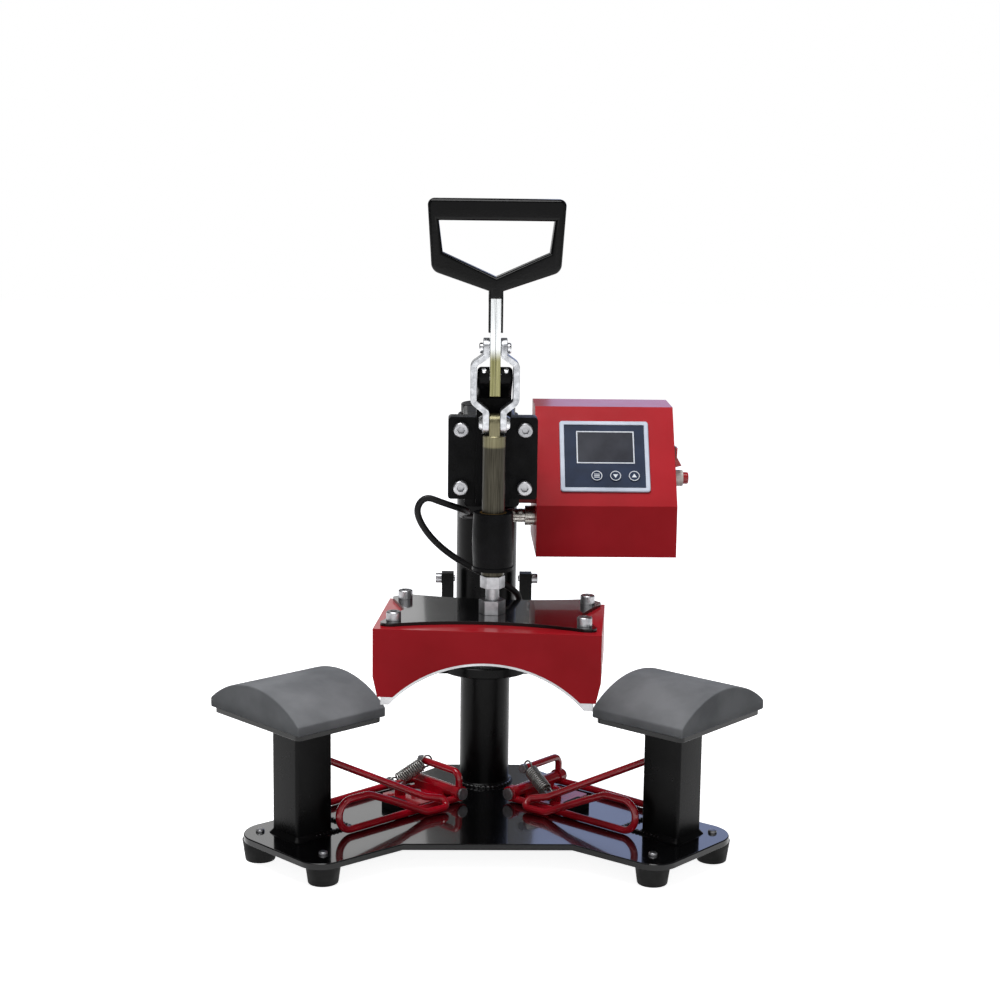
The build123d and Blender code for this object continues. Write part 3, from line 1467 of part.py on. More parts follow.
with BuildPart(ground) as box_screws:
    with Locations(*[Location((box_left + box_wall, y, z), (0, 90, 0)) for y, z in bracket_screws]):
        Cylinder(small_head_radius, small_head_height, align=upward)
        Cylinder(small_screw_radius, box_wall + bracket_thickness, align=downward)
    with Locations(*[Location((box_left - bracket_thickness, y, z), (0, -90, 0)) for y, z in bracket_screws]):
        Cylinder(small_head_radius, small_head_height, align=upward)
    for x, z in cover_screws:
        turn = 90 if x > 0 else -90
        with Locations(Location((box_middle_x + x, cover_screw_y, z), (0, turn, 0))):
            Cylinder(small_head_radius, small_head_height, align=upward)
            Cylinder(small_screw_radius, 2 * box_wall, align=downward)
    with Locations((0, plate_middle_y, arm_bottom - bracket_thickness)):
        Cylinder(small_head_radius, small_head_height, align=downward)
        Cylinder(small_screw_radius, bracket_thickness, align=upward)
box_screws.part.label = "box_screws"
export_step(box_screws.part, "parts/box_screws.step")

with BuildPart() as controller_bezel:
    with BuildSketch(panel):
        RectangleRounded(bezel_width, bezel_height, bezel_corner)
        Rectangle(controller_width, controller_height, mode=Mode.SUBTRACT)
    extrude(amount=bezel_thickness)
    bezel_front = controller_bezel.faces().sort_by(Axis(panel.origin, panel.z_dir))[-1]
    chamfer(bezel_front.outer_wire().edges(), length=0.6)
controller_bezel.part.label = "controller_bezel"
export_step(controller_bezel.part, "parts/controller_bezel.step")

key_places = [(key_x + step * key_spacing, -key_down_slope) for step in (-1, 0, 1)]
with BuildPart() as controller_body:
    with BuildSketch(panel.offset(-controller_depth)):
        Rectangle(controller_width, controller_height)
    extrude(amount=controller_depth + controller_proud)
    with BuildSketch(panel.offset(controller_proud)):
        with Locations((window_x, window_up)):
            Rectangle(window_width, window_height)
    extrude(amount=-window_thickness, mode=Mode.SUBTRACT)
    with BuildSketch(panel.offset(controller_proud)):
        with Locations(*key_places):
            Circle(key_radius + key_clearance)
    extrude(amount=-key_length - key_travel, mode=Mode.SUBTRACT)
controller_body.part.label = "controller_body"
export_step(controller_body.part, "parts/controller_body.step")

with BuildPart() as display_window:
    with BuildSketch(panel.offset(controller_proud)):
        with Locations((window_x, window_up)):
            Rectangle(window_width, window_height)
    extrude(amount=-window_thickness)
display_window.part.label = "display_window"
export_step(display_window.part, "parts/display_window.step")

for place, name in zip(key_places, ("key_set", "key_down", "key_up")):
    with BuildPart() as key:
        with BuildSketch(panel.offset(controller_proud + key_proud)):
            with Locations(place):
                Circle(key_radius)
        extrude(amount=key_clearance - key_length - key_proud)
        chamfer(key.edges().group_by(Axis(panel.origin, panel.z_dir))[-1], length=0.4)
    key.part.label = name
    export_step(key.part, f"parts/{name}.step")

# ---------------------------------------------------------------- switches, sockets and cable
with BuildPart(ground) as button_barrel:
    with Locations(Location((box_right, button_y, button_z), (0, 90, 0))):
        Cylinder(button_barrel_radius, button_barrel_length, align=upward)
        Cylinder(button_tail_radius, button_barrel_tail, align=downward)
        Cylinder(button_bore_radius, button_barrel_length, align=upward, mode=Mode.SUBTRACT)
        Cylinder(button_bore_radius, button_stop, align=downward, mode=Mode.SUBTRACT)
button_barrel.part.label = "button_barrel"
export_step(button_barrel.part, "parts/button_barrel.step")

button_tip = box_right + button_barrel_length + button_proud
with BuildPart(ground) as push_button:
    with Locations(Location((button_tip, button_y, button_z), (0, 90, 0))):
        Cylinder(button_radius, button_length, align=downward)
    chamfer(push_button.edges().group_by(Axis.X)[-1], length=0.8)
push_button.part.label = "push_button"
export_step(push_button.part, "parts/push_button.step")

rocker_face = box_right + rocker_frame_thickness
rocker_slot_half = rocker_half_length + rocker_end_play
with BuildPart(ground) as rocker_frame:
    with BuildSketch(column_side.offset(box_right)):
        with Locations((rocker_y, rocker_z)):
            RectangleRounded(rocker_frame_width, rocker_frame_height, rocker_frame_margin)
    extrude(amount=rocker_frame_thickness)
    with BuildSketch(column_side.offset(box_right)):
        with Locations((rocker_y, rocker_z)):
            Rectangle(rocker_frame_width - rocker_frame_margin, rocker_frame_height - rocker_frame_margin)
    extrude(amount=-rocker_frame_depth)
    with BuildSketch(column_side.offset(rocker_face)):
        with Locations((rocker_y, rocker_z)):
            Rectangle(2 * (rocker_half_width + rocker_side_play), 2 * rocker_slot_half)
    extrude(amount=-rocker_pocket_depth - rocker_frame_thickness, mode=Mode.SUBTRACT)
    with Locations(Location((box_right, rocker_y, rocker_z), (90, 0, 0))):
        Cylinder(
            rocker_pin_radius + running_clearance,
            2 * (rocker_half_width + rocker_pin_length + running_clearance),
            mode=Mode.SUBTRACT,
        )
rocker_frame.part.label = "rocker_frame"
export_step(rocker_frame.part, "parts/rocker_frame.step")

rocker_section = Plane(
    origin=(box_right, column_y + rocker_y, rocker_z),
    x_dir=(cos(radians(rocker_tilt)), 0, sin(radians(rocker_tilt))),
    z_dir=(0, -1, 0),
)
with BuildPart(ground) as power_rocker:
    with BuildSketch(rocker_section.offset(-rocker_half_width)):
        with BuildLine():
            Polyline(
                (rocker_waist, 0),
                (rocker_tip, rocker_half_length),
                (-rocker_tip / 4, rocker_half_length),
                (-rocker_heel, rocker_half_length / 3),
                (-rocker_heel, 0),
            )
            mirror(about=Plane.XZ)
        make_face()
    extrude(amount=2 * rocker_half_width)
    with Locations(Location((box_right, rocker_y, rocker_z), (90, 0, 0))):
        Cylinder(rocker_pin_radius, 2 * (rocker_half_width + rocker_pin_length))
power_rocker.part.label = "power_rocker"
export_step(power_rocker.part, "parts/power_rocker.step")

with BuildPart(ground) as box_socket:
    with Locations(Location((box_left, socket_y, socket_z), (0, -90, 0))):
        Cylinder(socket_radius, socket_length, align=upward)
        Cylinder(socket_bore, socket_tail, align=downward)
box_socket.part.label = "box_socket"
export_step(box_socket.part, "parts/box_socket.step")

with BuildPart(ground) as cable_plug:
    with Locations(Location((box_left - socket_length, socket_y, socket_z), (0, -90, 0))):
        Cylinder(plug_radius, plug_length, align=upward)
    chamfer(cable_plug.edges().group_by(Axis.X)[0], length=1.5)
cable_plug.part.label = "cable_plug"
export_step(cable_plug.part, "parts/cable_plug.step")

with BuildPart(ground) as inlet_gland:
    with Locations(Location((inlet_x, -box_rear, inlet_z), (-90, 0, 0))):
        Cylinder(inlet_hex_radius, inlet_length / 2, align=upward)
        Cylinder(inlet_radius, inlet_length, align=upward)
        Cylinder(inlet_radius, box_wall, align=downward)
        Cylinder(inlet_hex_radius, inlet_length / 3, align=upward)
    with Locations(Location((inlet_x, -box_rear - box_wall, inlet_z), (-90, 0, 0))):
        Cylinder(inlet_hex_radius, inlet_length / 3, align=downward)
        Cylinder(inlet_bore, 3 * inlet_length, mode=Mode.SUBTRACT)
inlet_gland.part.label = "inlet_gland"
export_step(inlet_gland.part, "parts/inlet_gland.step")

plug_end = box_left - socket_length - plug_length
gland_spot = heater.from_local_coords((heater_gland_x, gland_y, 0))
gland_seat = heater_gland_top - heater_gland_socket + cable_clearance
gland_mouth = (gland_spot.X, gland_spot.Y - column_y, gland_seat)
cable_route = [
    (plug_end, socket_y, socket_z),
    (-6, socket_y, socket_z),
    (-22, -94, 320),
    (-27, -121, 326),
    (-25, -154, 335),
    (-20, -186, 341.5),
    (-45, -194, 351),
    (-60, -195, 357),
    (-68.5, -195, 346),
    (-64, -194, 331),
    (-50, -193, 313),
    (-29, -192, 297),
    (-5, -190, 284),
    (13, -186, 274),
    (24, 61.5 - station_radius, heater_top + 7.7),
    (gland_mouth[0], gland_mouth[1], heater_top - 0.3),
    gland_mouth,
]


def bend_radii(points):
    # The largest even bend at each corner that both of its runs leave room for.
    radii = []
    for before, corner, after in zip(points, points[1:], points[2:]):
        run_in = Vector(*corner) - Vector(*before)
        run_out = Vector(*after) - Vector(*corner)
        half_turn = radians(run_in.get_angle(run_out)) / 2
        radii.append(0.45 * min(run_in.length, run_out.length) / tan(half_turn))
    return radii


cable_radii = bend_radii(cable_route)
print("cable bend radii", [round(radius, 1) for radius in cable_radii])
with BuildPart(ground) as heater_cable:
    with BuildLine(ground) as cable_line:
        FilletPolyline(*cable_route, radius=cable_radii)
    with BuildSketch(Plane(origin=cable_line.wire() @ 0, z_dir=cable_line.wire() % 0)):
        Circle(cable_radius)
    sweep(path=cable_line.wire())
cable_length = cable_line.wire().length
cable_fill = heater_cable.part.volume / (pi * cable_radius**2 * cable_length)
print("cable length", round(cable_length, 1), "volume over section times length", round(cable_fill, 4))
heater_cable.part.label = "heater_cable"
export_step(heater_cable.part, "parts/heater_cable.step")
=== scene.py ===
import json
from math import atan2, cos, radians, sin, tau
import bmesh
import bpy
from mathutils import Matrix, Vector

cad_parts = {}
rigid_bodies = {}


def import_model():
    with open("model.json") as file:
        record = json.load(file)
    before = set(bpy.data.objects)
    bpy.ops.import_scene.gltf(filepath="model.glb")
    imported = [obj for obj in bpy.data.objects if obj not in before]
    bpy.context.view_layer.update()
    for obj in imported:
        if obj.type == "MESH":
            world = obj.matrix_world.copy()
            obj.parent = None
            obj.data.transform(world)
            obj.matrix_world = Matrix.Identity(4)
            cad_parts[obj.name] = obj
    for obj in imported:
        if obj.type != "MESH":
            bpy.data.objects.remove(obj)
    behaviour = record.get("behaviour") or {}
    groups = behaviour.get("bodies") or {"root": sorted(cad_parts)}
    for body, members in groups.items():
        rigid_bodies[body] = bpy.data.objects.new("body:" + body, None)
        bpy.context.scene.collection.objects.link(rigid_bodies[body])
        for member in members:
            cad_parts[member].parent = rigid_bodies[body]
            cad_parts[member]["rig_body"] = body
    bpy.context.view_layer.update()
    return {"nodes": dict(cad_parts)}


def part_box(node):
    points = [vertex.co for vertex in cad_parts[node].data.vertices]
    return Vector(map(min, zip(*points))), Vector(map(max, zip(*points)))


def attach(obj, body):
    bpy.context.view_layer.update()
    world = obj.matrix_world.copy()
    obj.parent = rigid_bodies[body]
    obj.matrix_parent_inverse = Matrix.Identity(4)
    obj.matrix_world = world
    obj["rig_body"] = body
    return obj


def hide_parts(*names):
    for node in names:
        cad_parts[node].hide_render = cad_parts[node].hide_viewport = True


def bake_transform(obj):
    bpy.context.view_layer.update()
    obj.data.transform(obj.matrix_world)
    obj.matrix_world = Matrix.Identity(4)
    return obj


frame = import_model()
print("stage: frame loaded")

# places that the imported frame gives
columnLow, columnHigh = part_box("column")
plungerLow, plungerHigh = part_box("plunger_rod")
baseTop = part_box("base_plate")[1].z
columnY = (columnLow.y + columnHigh.y) / 2
pressY = (plungerLow.y + plungerHigh.y) / 2
stationAngle = radians(48)


# camera, floor and light
camera = {
    "lens": 70.04, "sensor": 36.0,
    "place": (-0.044326, columnY - 1.918004, 0.660231),
    "down": 10.076, "toRight": 1.709, "roll": 0.74,
}
lens = bpy.data.cameras.new("photoLens")
lens.lens = camera["lens"]
lens.sensor_width = camera["sensor"]
photoCamera = bpy.data.objects.new("photoCamera", lens)
bpy.context.scene.collection.objects.link(photoCamera)
photoCamera.matrix_world = (
    Matrix.Translation(camera["place"])
    @ Matrix.Rotation(radians(-camera["toRight"]), 4, "Z")
    @ Matrix.Rotation(radians(90 - camera["down"]), 4, "X")
    @ Matrix.Rotation(radians(camera["roll"]), 4, "Z")
)
bpy.context.scene.camera = photoCamera
bpy.context.scene.view_settings.view_transform = "Standard"

studio = {
    "skyLight": 0.13, "skySeen": 1.0,
    "floorSize": 14.0, "floorTint": (0.93, 0.93, 0.935, 1), "floorGlow": 0.87,
}
world = bpy.data.worlds.new("studioWorld")
world.use_nodes = True
skyNodes = world.node_tree.nodes
skyPath = skyNodes.new("ShaderNodeLightPath")
skyRange = skyNodes.new("ShaderNodeMapRange")
skyRange.inputs["To Min"].default_value = studio["skyLight"]
skyRange.inputs["To Max"].default_value = studio["skySeen"]
world.node_tree.links.new(skyPath.outputs["Is Camera Ray"], skyRange.inputs["Value"])
world.node_tree.links.new(skyRange.outputs["Result"], skyNodes["Background"].inputs["Strength"])
skyNodes["Background"].inputs["Color"].default_value = (1, 1, 1, 1)
bpy.context.scene.world = world


def addSoftbox(name, box):
    lamp = bpy.data.lights.new(name, "AREA")
    lamp.shape = "RECTANGLE"
    lamp.size, lamp.size_y = box["size"]
    lamp.energy = box["power"]
    lamp.color = box.get("tint", (1, 1, 1))
    holder = bpy.data.objects.new(name, lamp)
    bpy.context.scene.collection.objects.link(holder)
    aim = (Vector(box["target"]) - Vector(box["place"])).to_track_quat("-Z", "Y")
    holder.matrix_world = Matrix.Translation(box["place"]) @ aim.to_matrix().to_4x4()
    holder.visible_camera = False


softboxes = {
    "topSoftbox": {"place": (-0.3, -0.45, 2.3), "target": (0, 0, 0.3), "size": (1.6, 1.2), "power": 46},
    "frontSoftbox": {"place": (0, -2.3, 0.6), "target": (0, 0, 0.35), "size": (3.0, 2.0), "power": 15},
    "leftSoftbox": {"place": (-1.9, -1.3, 1.2), "target": (0, 0, 0.3), "size": (1.0, 1.4), "power": 1.5},
    "rightSoftbox": {"place": (1.8, -1.2, 1.0), "target": (0, 0, 0.3), "size": (0.8, 1.2), "power": 2.5},
    "lavenderCard": {
        "place": (1.0, 2.6, 1.15), "target": (0.3, 0, 0.2), "size": (1.7, 1.4), "power": 5.5,
        "tint": (0.45, 0.57, 1.0),
    },
    "greyCard": {"place": (-0.9, 2.6, 1.15), "target": (-0.3, 0, 0.2), "size": (1.7, 1.4), "power": 4.5},
}
for name, box in softboxes.items():
    addSoftbox(name, box)


# node helpers for the finishes
def tone(red, green, blue):
    return tuple((part / 255) ** 2.2 for part in (red, green, blue)) + (1.0,)


def startFinish(name, settings):
    finish = bpy.data.materials.new(name)
    finish.use_nodes = True
    shader = finish.node_tree.nodes["Principled BSDF"]
    shader.inputs["Metallic"].default_value = settings.get("metallic", 0.0)
    shader.inputs["Roughness"].default_value = settings["roughness"]
    shader.inputs["Coat Weight"].default_value = settings.get("coat", 0.0)
    shader.inputs["Coat Roughness"].default_value = settings.get("coatRoughness", 0.05)
    shader.inputs["Coat IOR"].default_value = settings.get("coatBend", 1.5)
    shader.inputs["Specular IOR Level"].default_value = settings.get("specular", 0.5)
    return finish, finish.node_tree, shader


def noiseOn(tree, scale, detail=3.0, stretch=(1, 1, 1)):
    place = tree.nodes.new("ShaderNodeTexCoord")
    turn = tree.nodes.new("ShaderNodeMapping")
    turn.inputs["Scale"].default_value = stretch
    noise = tree.nodes.new("ShaderNodeTexNoise")
    noise.inputs["Scale"].default_value = scale
    noise.inputs["Detail"].default_value = detail
    tree.links.new(place.outputs["Object"], turn.inputs["Vector"])
    tree.links.new(turn.outputs["Vector"], noise.inputs["Vector"])
    return noise.outputs["Fac"]


def rampOn(tree, factor, stops):
    ramp = tree.nodes.new("ShaderNodeValToRGB")
    while len(ramp.color_ramp.elements) < len(stops):
        ramp.color_ramp.elements.new(0.5)
    for element, (position, colour) in zip(ramp.color_ramp.elements, stops):
        element.position = position
        element.color = colour
    tree.links.new(factor, ramp.inputs["Fac"])
    return ramp.outputs["Color"]


def spreadOn(tree, factor, low, high):
    spread = tree.nodes.new("ShaderNodeMapRange")
    spread.inputs["From Min"].default_value = 0.3
    spread.inputs["From Max"].default_value = 0.7
    spread.inputs["To Min"].default_value = low
    spread.inputs["To Max"].default_value = high
    tree.links.new(factor, spread.inputs["Value"])
    return spread.outputs["Result"]


def bumpOn(tree, shader, height, strength, distance):
    bump = tree.nodes.new("ShaderNodeBump")
    bump.inputs["Strength"].default_value = strength
    bump.inputs["Distance"].default_value = distance
    tree.links.new(height, bump.inputs["Height"])
    tree.links.new(bump.outputs["Normal"], shader.inputs["Normal"])


def makeCoat(name, settings):
    # sprayed or powder coat: slight cloudiness, orange peel and a few dull patches
    finish, tree, shader = startFinish(name, settings)
    cloud = noiseOn(tree, settings["cloudScale"], 4.0)
    tint = rampOn(tree, cloud, [(0.35, settings["dark"]), (0.65, settings["light"])])
    tree.links.new(tint, shader.inputs["Base Color"])
    patches = noiseOn(tree, settings["patchScale"], 5.0)
    low = settings["roughness"]
    tree.links.new(spreadOn(tree, patches, low, low + settings["dulling"]), shader.inputs["Roughness"])
    bumpOn(tree, shader, noiseOn(tree, settings["peelScale"], 2.0), settings["peel"], settings["peelDepth"])
    return finish


def makeMetal(name, settings):
    # brushed or plated metal: fine drawn streaks over slow stains
    finish, tree, shader = startFinish(name, settings)
    stain = noiseOn(tree, settings["stainScale"], 5.0)
    streak = noiseOn(tree, settings["streakScale"], 3.0, settings["stretch"])
    tint = rampOn(tree, stain, [(0.3, settings["dark"]), (0.7, settings["light"])])
    lines = rampOn(tree, streak, [(0.3, (0.72, 0.72, 0.72, 1)), (0.65, (1, 1, 1, 1))])
    blend = tree.nodes.new("ShaderNodeMix")
    blend.data_type = "RGBA"
    blend.blend_type = "MULTIPLY"
    blend.inputs["Factor"].default_value = settings.get("streaks", 0.6)
    tree.links.new(tint, blend.inputs["A"])
    tree.links.new(lines, blend.inputs["B"])
    tree.links.new(blend.outputs["Result"], shader.inputs["Base Color"])
    low = settings["roughness"]
    tree.links.new(spreadOn(tree, streak, low, low + 0.15), shader.inputs["Roughness"])
    bumpOn(tree, shader, streak, settings.get("grain", 0.15), 0.0002)
    return finish


def glossOnTop(finish, weight):
    # the mirror coat shows on faces that look up, and the sheared rims stay dull
    tree = finish.node_tree
    place = tree.nodes.new("ShaderNodeTexCoord")
    parts = tree.nodes.new("ShaderNodeSeparateXYZ")
    band = tree.nodes.new("ShaderNodeMapRange")
    band.inputs["From Min"].default_value = 0.75
    band.inputs["From Max"].default_value = 0.95
    band.inputs["To Max"].default_value = weight
    tree.links.new(place.outputs["Normal"], parts.inputs["Vector"])
    tree.links.new(parts.outputs["Z"], band.inputs["Value"])
    tree.links.new(band.outputs["Result"], tree.nodes["Principled BSDF"].inputs["Coat Weight"])


glossBlack = makeCoat("glossBlackCoat", {
    "dark": tone(10, 10, 11), "light": tone(19, 19, 21),
    "roughness": 0.12, "dulling": 0.08, "specular": 0.3,
    "cloudScale": 9, "patchScale": 25, "peelScale": 420, "peel": 0.05, "peelDepth": 0.0004, "coat": 1.0,
    "coatBend": 1.85,
})
glossOnTop(glossBlack, 1.0)
satinBlack = makeCoat("satinBlackCoat", {
    "dark": tone(8, 8, 9), "light": tone(16, 16, 17), "roughness": 0.24, "dulling": 0.12, "specular": 0.1,
    "cloudScale": 12, "patchScale": 30, "peelScale": 600, "peel": 0.15, "peelDepth": 0.0005,
})
castBlack = makeCoat("castBlackCoat", {
    "dark": tone(9, 9, 10), "light": tone(20, 20, 22), "roughness": 0.32, "dulling": 0.2, "specular": 0.08,
    "cloudScale": 60, "patchScale": 80, "peelScale": 750, "peel": 0.35, "peelDepth": 0.0006,
})
redCoat = makeCoat("redCoat", {
    "dark": tone(156, 20, 30), "light": tone(171, 27, 38),
    "roughness": 0.30, "dulling": 0.10, "specular": 0.1,
    "cloudScale": 14, "patchScale": 40, "peelScale": 800, "peel": 0.12, "peelDepth": 0.0003,
    "coatRoughness": 0.12,
})
glossOnTop(redCoat, 0.8)
# the box's red coat darkened as painted shade, for the bracket that sits in shadow between the mounting
# plate and the box
redCoatPaintedShade = makeCoat("redCoatPaintedShade", {
    "dark": tone(96, 10, 16), "light": tone(120, 15, 22),
    "roughness": 0.32, "dulling": 0.15, "specular": 0.2,
    "cloudScale": 20, "patchScale": 50, "peelScale": 800, "peel": 0.2, "peelDepth": 0.0004,
})
crimsonCoat = makeCoat("crimsonCoat", {
    "dark": tone(140, 10, 26), "light": tone(172, 16, 36),
    "roughness": 0.16, "dulling": 0.10, "specular": 0.3,
    "cloudScale": 35, "patchScale": 60, "peelScale": 500, "peel": 0.12, "peelDepth": 0.0004, "coat": 0.5,
})
footRubber = makeCoat("footRubber", {
    "dark": tone(14, 14, 14), "light": tone(27, 27, 27), "roughness": 0.55, "dulling": 0.2, "specular": 0.2,
    "cloudScale": 60, "patchScale": 90, "peelScale": 1400, "peel": 0.35, "peelDepth": 0.0004,
})
padRubber = makeCoat("padRubber", {
    "dark": tone(106, 108, 111), "light": tone(124, 126, 129),
    "roughness": 0.62, "dulling": 0.15, "specular": 0.04,
    "cloudScale": 22, "patchScale": 60, "peelScale": 1700, "peel": 0.45, "peelDepth": 0.0004,
})
cableJacket = makeCoat("cableJacket", {
    "dark": tone(12, 12, 13), "light": tone(22, 22, 23),
    "roughness": 0.45, "dulling": 0.15, "specular": 0.25,
    "cloudScale": 60, "patchScale": 90, "peelScale": 1500, "peel": 0.2, "peelDepth": 0.0003,
})
gripPlastic = makeCoat("gripPlastic", {
    "dark": tone(6, 6, 7), "light": tone(11, 11, 13), "roughness": 0.14, "dulling": 0.10, "specular": 0.16,
    "cloudScale": 18, "patchScale": 45, "peelScale": 350, "peel": 0.12, "peelDepth": 0.0006,
})
switchBlack = makeCoat("switchBlack", {
    "dark": tone(16, 16, 17), "light": tone(26, 26, 27), "roughness": 0.4, "dulling": 0.1,
    "cloudScale": 90, "patchScale": 120, "peelScale": 2200, "peel": 0.2, "peelDepth": 0.0002,
})
rockerRed = makeCoat("rockerRed", {
    "dark": tone(150, 14, 16), "light": tone(185, 22, 22), "roughness": 0.22, "dulling": 0.1,
    "cloudScale": 90, "patchScale": 120, "peelScale": 1800, "peel": 0.1, "peelDepth": 0.0002,
})
buttonRed = makeCoat("buttonRed", {
    "dark": tone(160, 24, 30), "light": tone(184, 34, 40), "roughness": 0.22, "dulling": 0.1,
    "cloudScale": 90, "patchScale": 120, "peelScale": 1800, "peel": 0.1, "peelDepth": 0.0002,
})
barrelWhite = makeCoat("barrelWhite", {
    "dark": tone(222, 221, 214), "light": tone(240, 239, 234), "roughness": 0.28, "dulling": 0.1,
    "cloudScale": 80, "patchScale": 120, "peelScale": 1800, "peel": 0.1, "peelDepth": 0.0002,
})
bezelPlastic = makeCoat("bezelPlastic", {
    "dark": tone(172, 182, 200), "light": tone(196, 204, 220), "roughness": 0.3, "dulling": 0.1,
    "cloudScale": 40, "patchScale": 80, "peelScale": 2500, "peel": 0.15, "peelDepth": 0.0002,
})
panelPlastic = makeCoat("panelPlastic", {
    "dark": tone(32, 42, 62), "light": tone(42, 53, 76),
    "roughness": 0.42, "dulling": 0.1, "specular": 0.15,
    "cloudScale": 40, "patchScale": 80, "peelScale": 2500, "peel": 0.25, "peelDepth": 0.0002,
})
displayPlastic = makeCoat("displayPlastic", {
    "dark": tone(46, 47, 54), "light": tone(57, 59, 67),
    "roughness": 0.12, "dulling": 0.06, "specular": 0.06,
    "cloudScale": 35, "patchScale": 80, "peelScale": 900, "peel": 0.04, "peelDepth": 0.0002,
})
printWhite = makeCoat("printWhite", {
    "dark": tone(200, 206, 216), "light": tone(222, 227, 235), "roughness": 0.45, "dulling": 0.1,
    "cloudScale": 200, "patchScale": 300, "peelScale": 3000, "peel": 0.1, "peelDepth": 0.0001,
})
insulationWool = makeCoat("insulationWool", {
    "dark": tone(205, 202, 190), "light": tone(236, 234, 226), "roughness": 0.95, "dulling": 0.05,
    "cloudScale": 120, "patchScale": 200, "peelScale": 900, "peel": 0.9, "peelDepth": 0.002,
})
zincSteel = makeMetal("zincSteel", {
    "metallic": 1.0, "dark": tone(140, 141, 144), "light": tone(190, 190, 193), "roughness": 0.28,
    "stainScale": 120, "streakScale": 900, "stretch": (1, 1, 1), "streaks": 0.35,
})
brightSteel = makeMetal("brightSteel", {
    "metallic": 1.0, "dark": tone(176, 177, 180), "light": tone(222, 223, 226), "roughness": 0.16,
    "stainScale": 70, "streakScale": 1600, "stretch": (1, 1, 0.05), "streaks": 0.3,
})
linkSteel = makeMetal("linkSteel", {
    "metallic": 1.0, "dark": tone(150, 152, 156), "light": tone(214, 216, 220), "roughness": 0.3,
    "stainScale": 220, "streakScale": 500, "stretch": (1, 1, 1), "streaks": 0.5, "grain": 0.3,
})
springSteel = makeMetal("springSteel", {
    "metallic": 1.0, "dark": tone(120, 119, 116), "light": tone(172, 171, 168), "roughness": 0.3,
    "stainScale": 200, "streakScale": 1500, "stretch": (1, 1, 1), "streaks": 0.4,
})
bushBronze = makeMetal("bushBronze", {
    "metallic": 1.0, "dark": tone(150, 118, 66), "light": tone(190, 156, 96), "roughness": 0.3,
    "stainScale": 90, "streakScale": 1200, "stretch": (1, 1, 0.2),
})
platenAlloy = makeMetal("platenAlloy", {
    "metallic": 1.0, "dark": tone(160, 160, 162), "light": tone(198, 198, 200), "roughness": 0.35,
    "stainScale": 40, "streakScale": 700, "stretch": (1, 0.1, 1),
})
elementSteel = makeMetal("elementSteel", {
    "metallic": 1.0, "dark": tone(86, 78, 72), "light": tone(120, 112, 104), "roughness": 0.45,
    "stainScale": 90, "streakScale": 900, "stretch": (1, 1, 1),
})
nickelPlate = makeMetal("nickelPlate", {
    "metallic": 1.0, "dark": tone(150, 146, 140), "light": tone(208, 205, 200), "roughness": 0.18,
    "stainScale": 180, "streakScale": 1500, "stretch": (0.1, 1, 1), "streaks": 0.3,
})


def heightBand(tree, low, high):
    # 0 below low, 1 above high, by the height above the floor
    place = tree.nodes.new("ShaderNodeTexCoord")
    parts = tree.nodes.new("ShaderNodeSeparateXYZ")
    band = tree.nodes.new("ShaderNodeMapRange")
    band.interpolation_type = "SMOOTHSTEP"
    band.inputs["From Min"].default_value = low
    band.inputs["From Max"].default_value = high
    tree.links.new(place.outputs["Object"], parts.inputs["Vector"])
    tree.links.new(parts.outputs["Z"], band.inputs["Value"])
    return band.outputs["Result"]


def makeTwoTone(name, settings):
    # steel whose colour changes at a given height; on the lever the upper tone is partly a painted highlight
    finish, tree, shader = startFinish(name, settings)
    streak = noiseOn(tree, settings["streakScale"], 4.0, settings["stretch"])
    lower = rampOn(tree, streak, [(0.3, settings["lowerDark"]), (0.7, settings["lowerLight"])])
    upper = rampOn(tree, streak, [(0.3, settings["upperDark"]), (0.7, settings["upperLight"])])
    blend = tree.nodes.new("ShaderNodeMix")
    blend.data_type = "RGBA"
    tree.links.new(heightBand(tree, *settings["band"]), blend.inputs["Factor"])
    tree.links.new(lower, blend.inputs["A"])
    tree.links.new(upper, blend.inputs["B"])
    tree.links.new(blend.outputs["Result"], shader.inputs["Base Color"])
    low = settings["roughness"]
    tree.links.new(spreadOn(tree, streak, low, low + 0.18), shader.inputs["Roughness"])
    bumpOn(tree, shader, streak, settings["grain"], 0.0003)
    return finish


# the plunger is darker and greyer below the band height, yellower above
plungerZinc = makeTwoTone("plungerZinc", {
    "metallic": 1.0, "roughness": 0.3, "streakScale": 1100, "stretch": (1, 1, 0.03), "grain": 0.4,
    "lowerDark": tone(46, 44, 39), "lowerLight": tone(82, 79, 70),
    "upperDark": tone(94, 90, 70), "upperLight": tone(134, 129, 104), "band": (0.4080, 0.4104),
})
# the lever's brass-coloured lower tone is its own plating; the near-white upper tone is brightened past
# bright steel as a painted highlight
leverSteelPaintedHighlight = makeTwoTone("leverSteelPaintedHighlight", {
    "metallic": 1.0, "roughness": 0.12, "streakScale": 1400, "stretch": (1, 1, 0.02), "grain": 0.04,
    "lowerDark": tone(92, 91, 60), "lowerLight": tone(146, 143, 106),
    "upperDark": tone(206, 209, 211), "upperLight": tone(238, 241, 242), "band": (0.484, 0.499),
})
print("stage: finishes made")


# CAD nodes dressed with soft edges
def placePiece(name, mesh, body, finish, nodes=()):
    piece = bpy.data.objects.new(name, mesh)
    bpy.context.scene.collection.objects.link(piece)
    mesh.materials.clear()
    mesh.materials.append(finish)
    if body:
        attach(piece, body)
    if nodes:
        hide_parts(*nodes)
    return piece


dressing = {"segments": 2, "sharpest": radians(32), "flattest": radians(0.4), "merge": 2e-6}


def softenEdges(piece, width):
    edge = piece.modifiers.new("softEdge", "BEVEL")
    edge.width = width
    edge.segments = dressing["segments"]
    edge.limit_method = "ANGLE"
    edge.angle_limit = dressing["sharpest"]
    edge.harden_normals = True


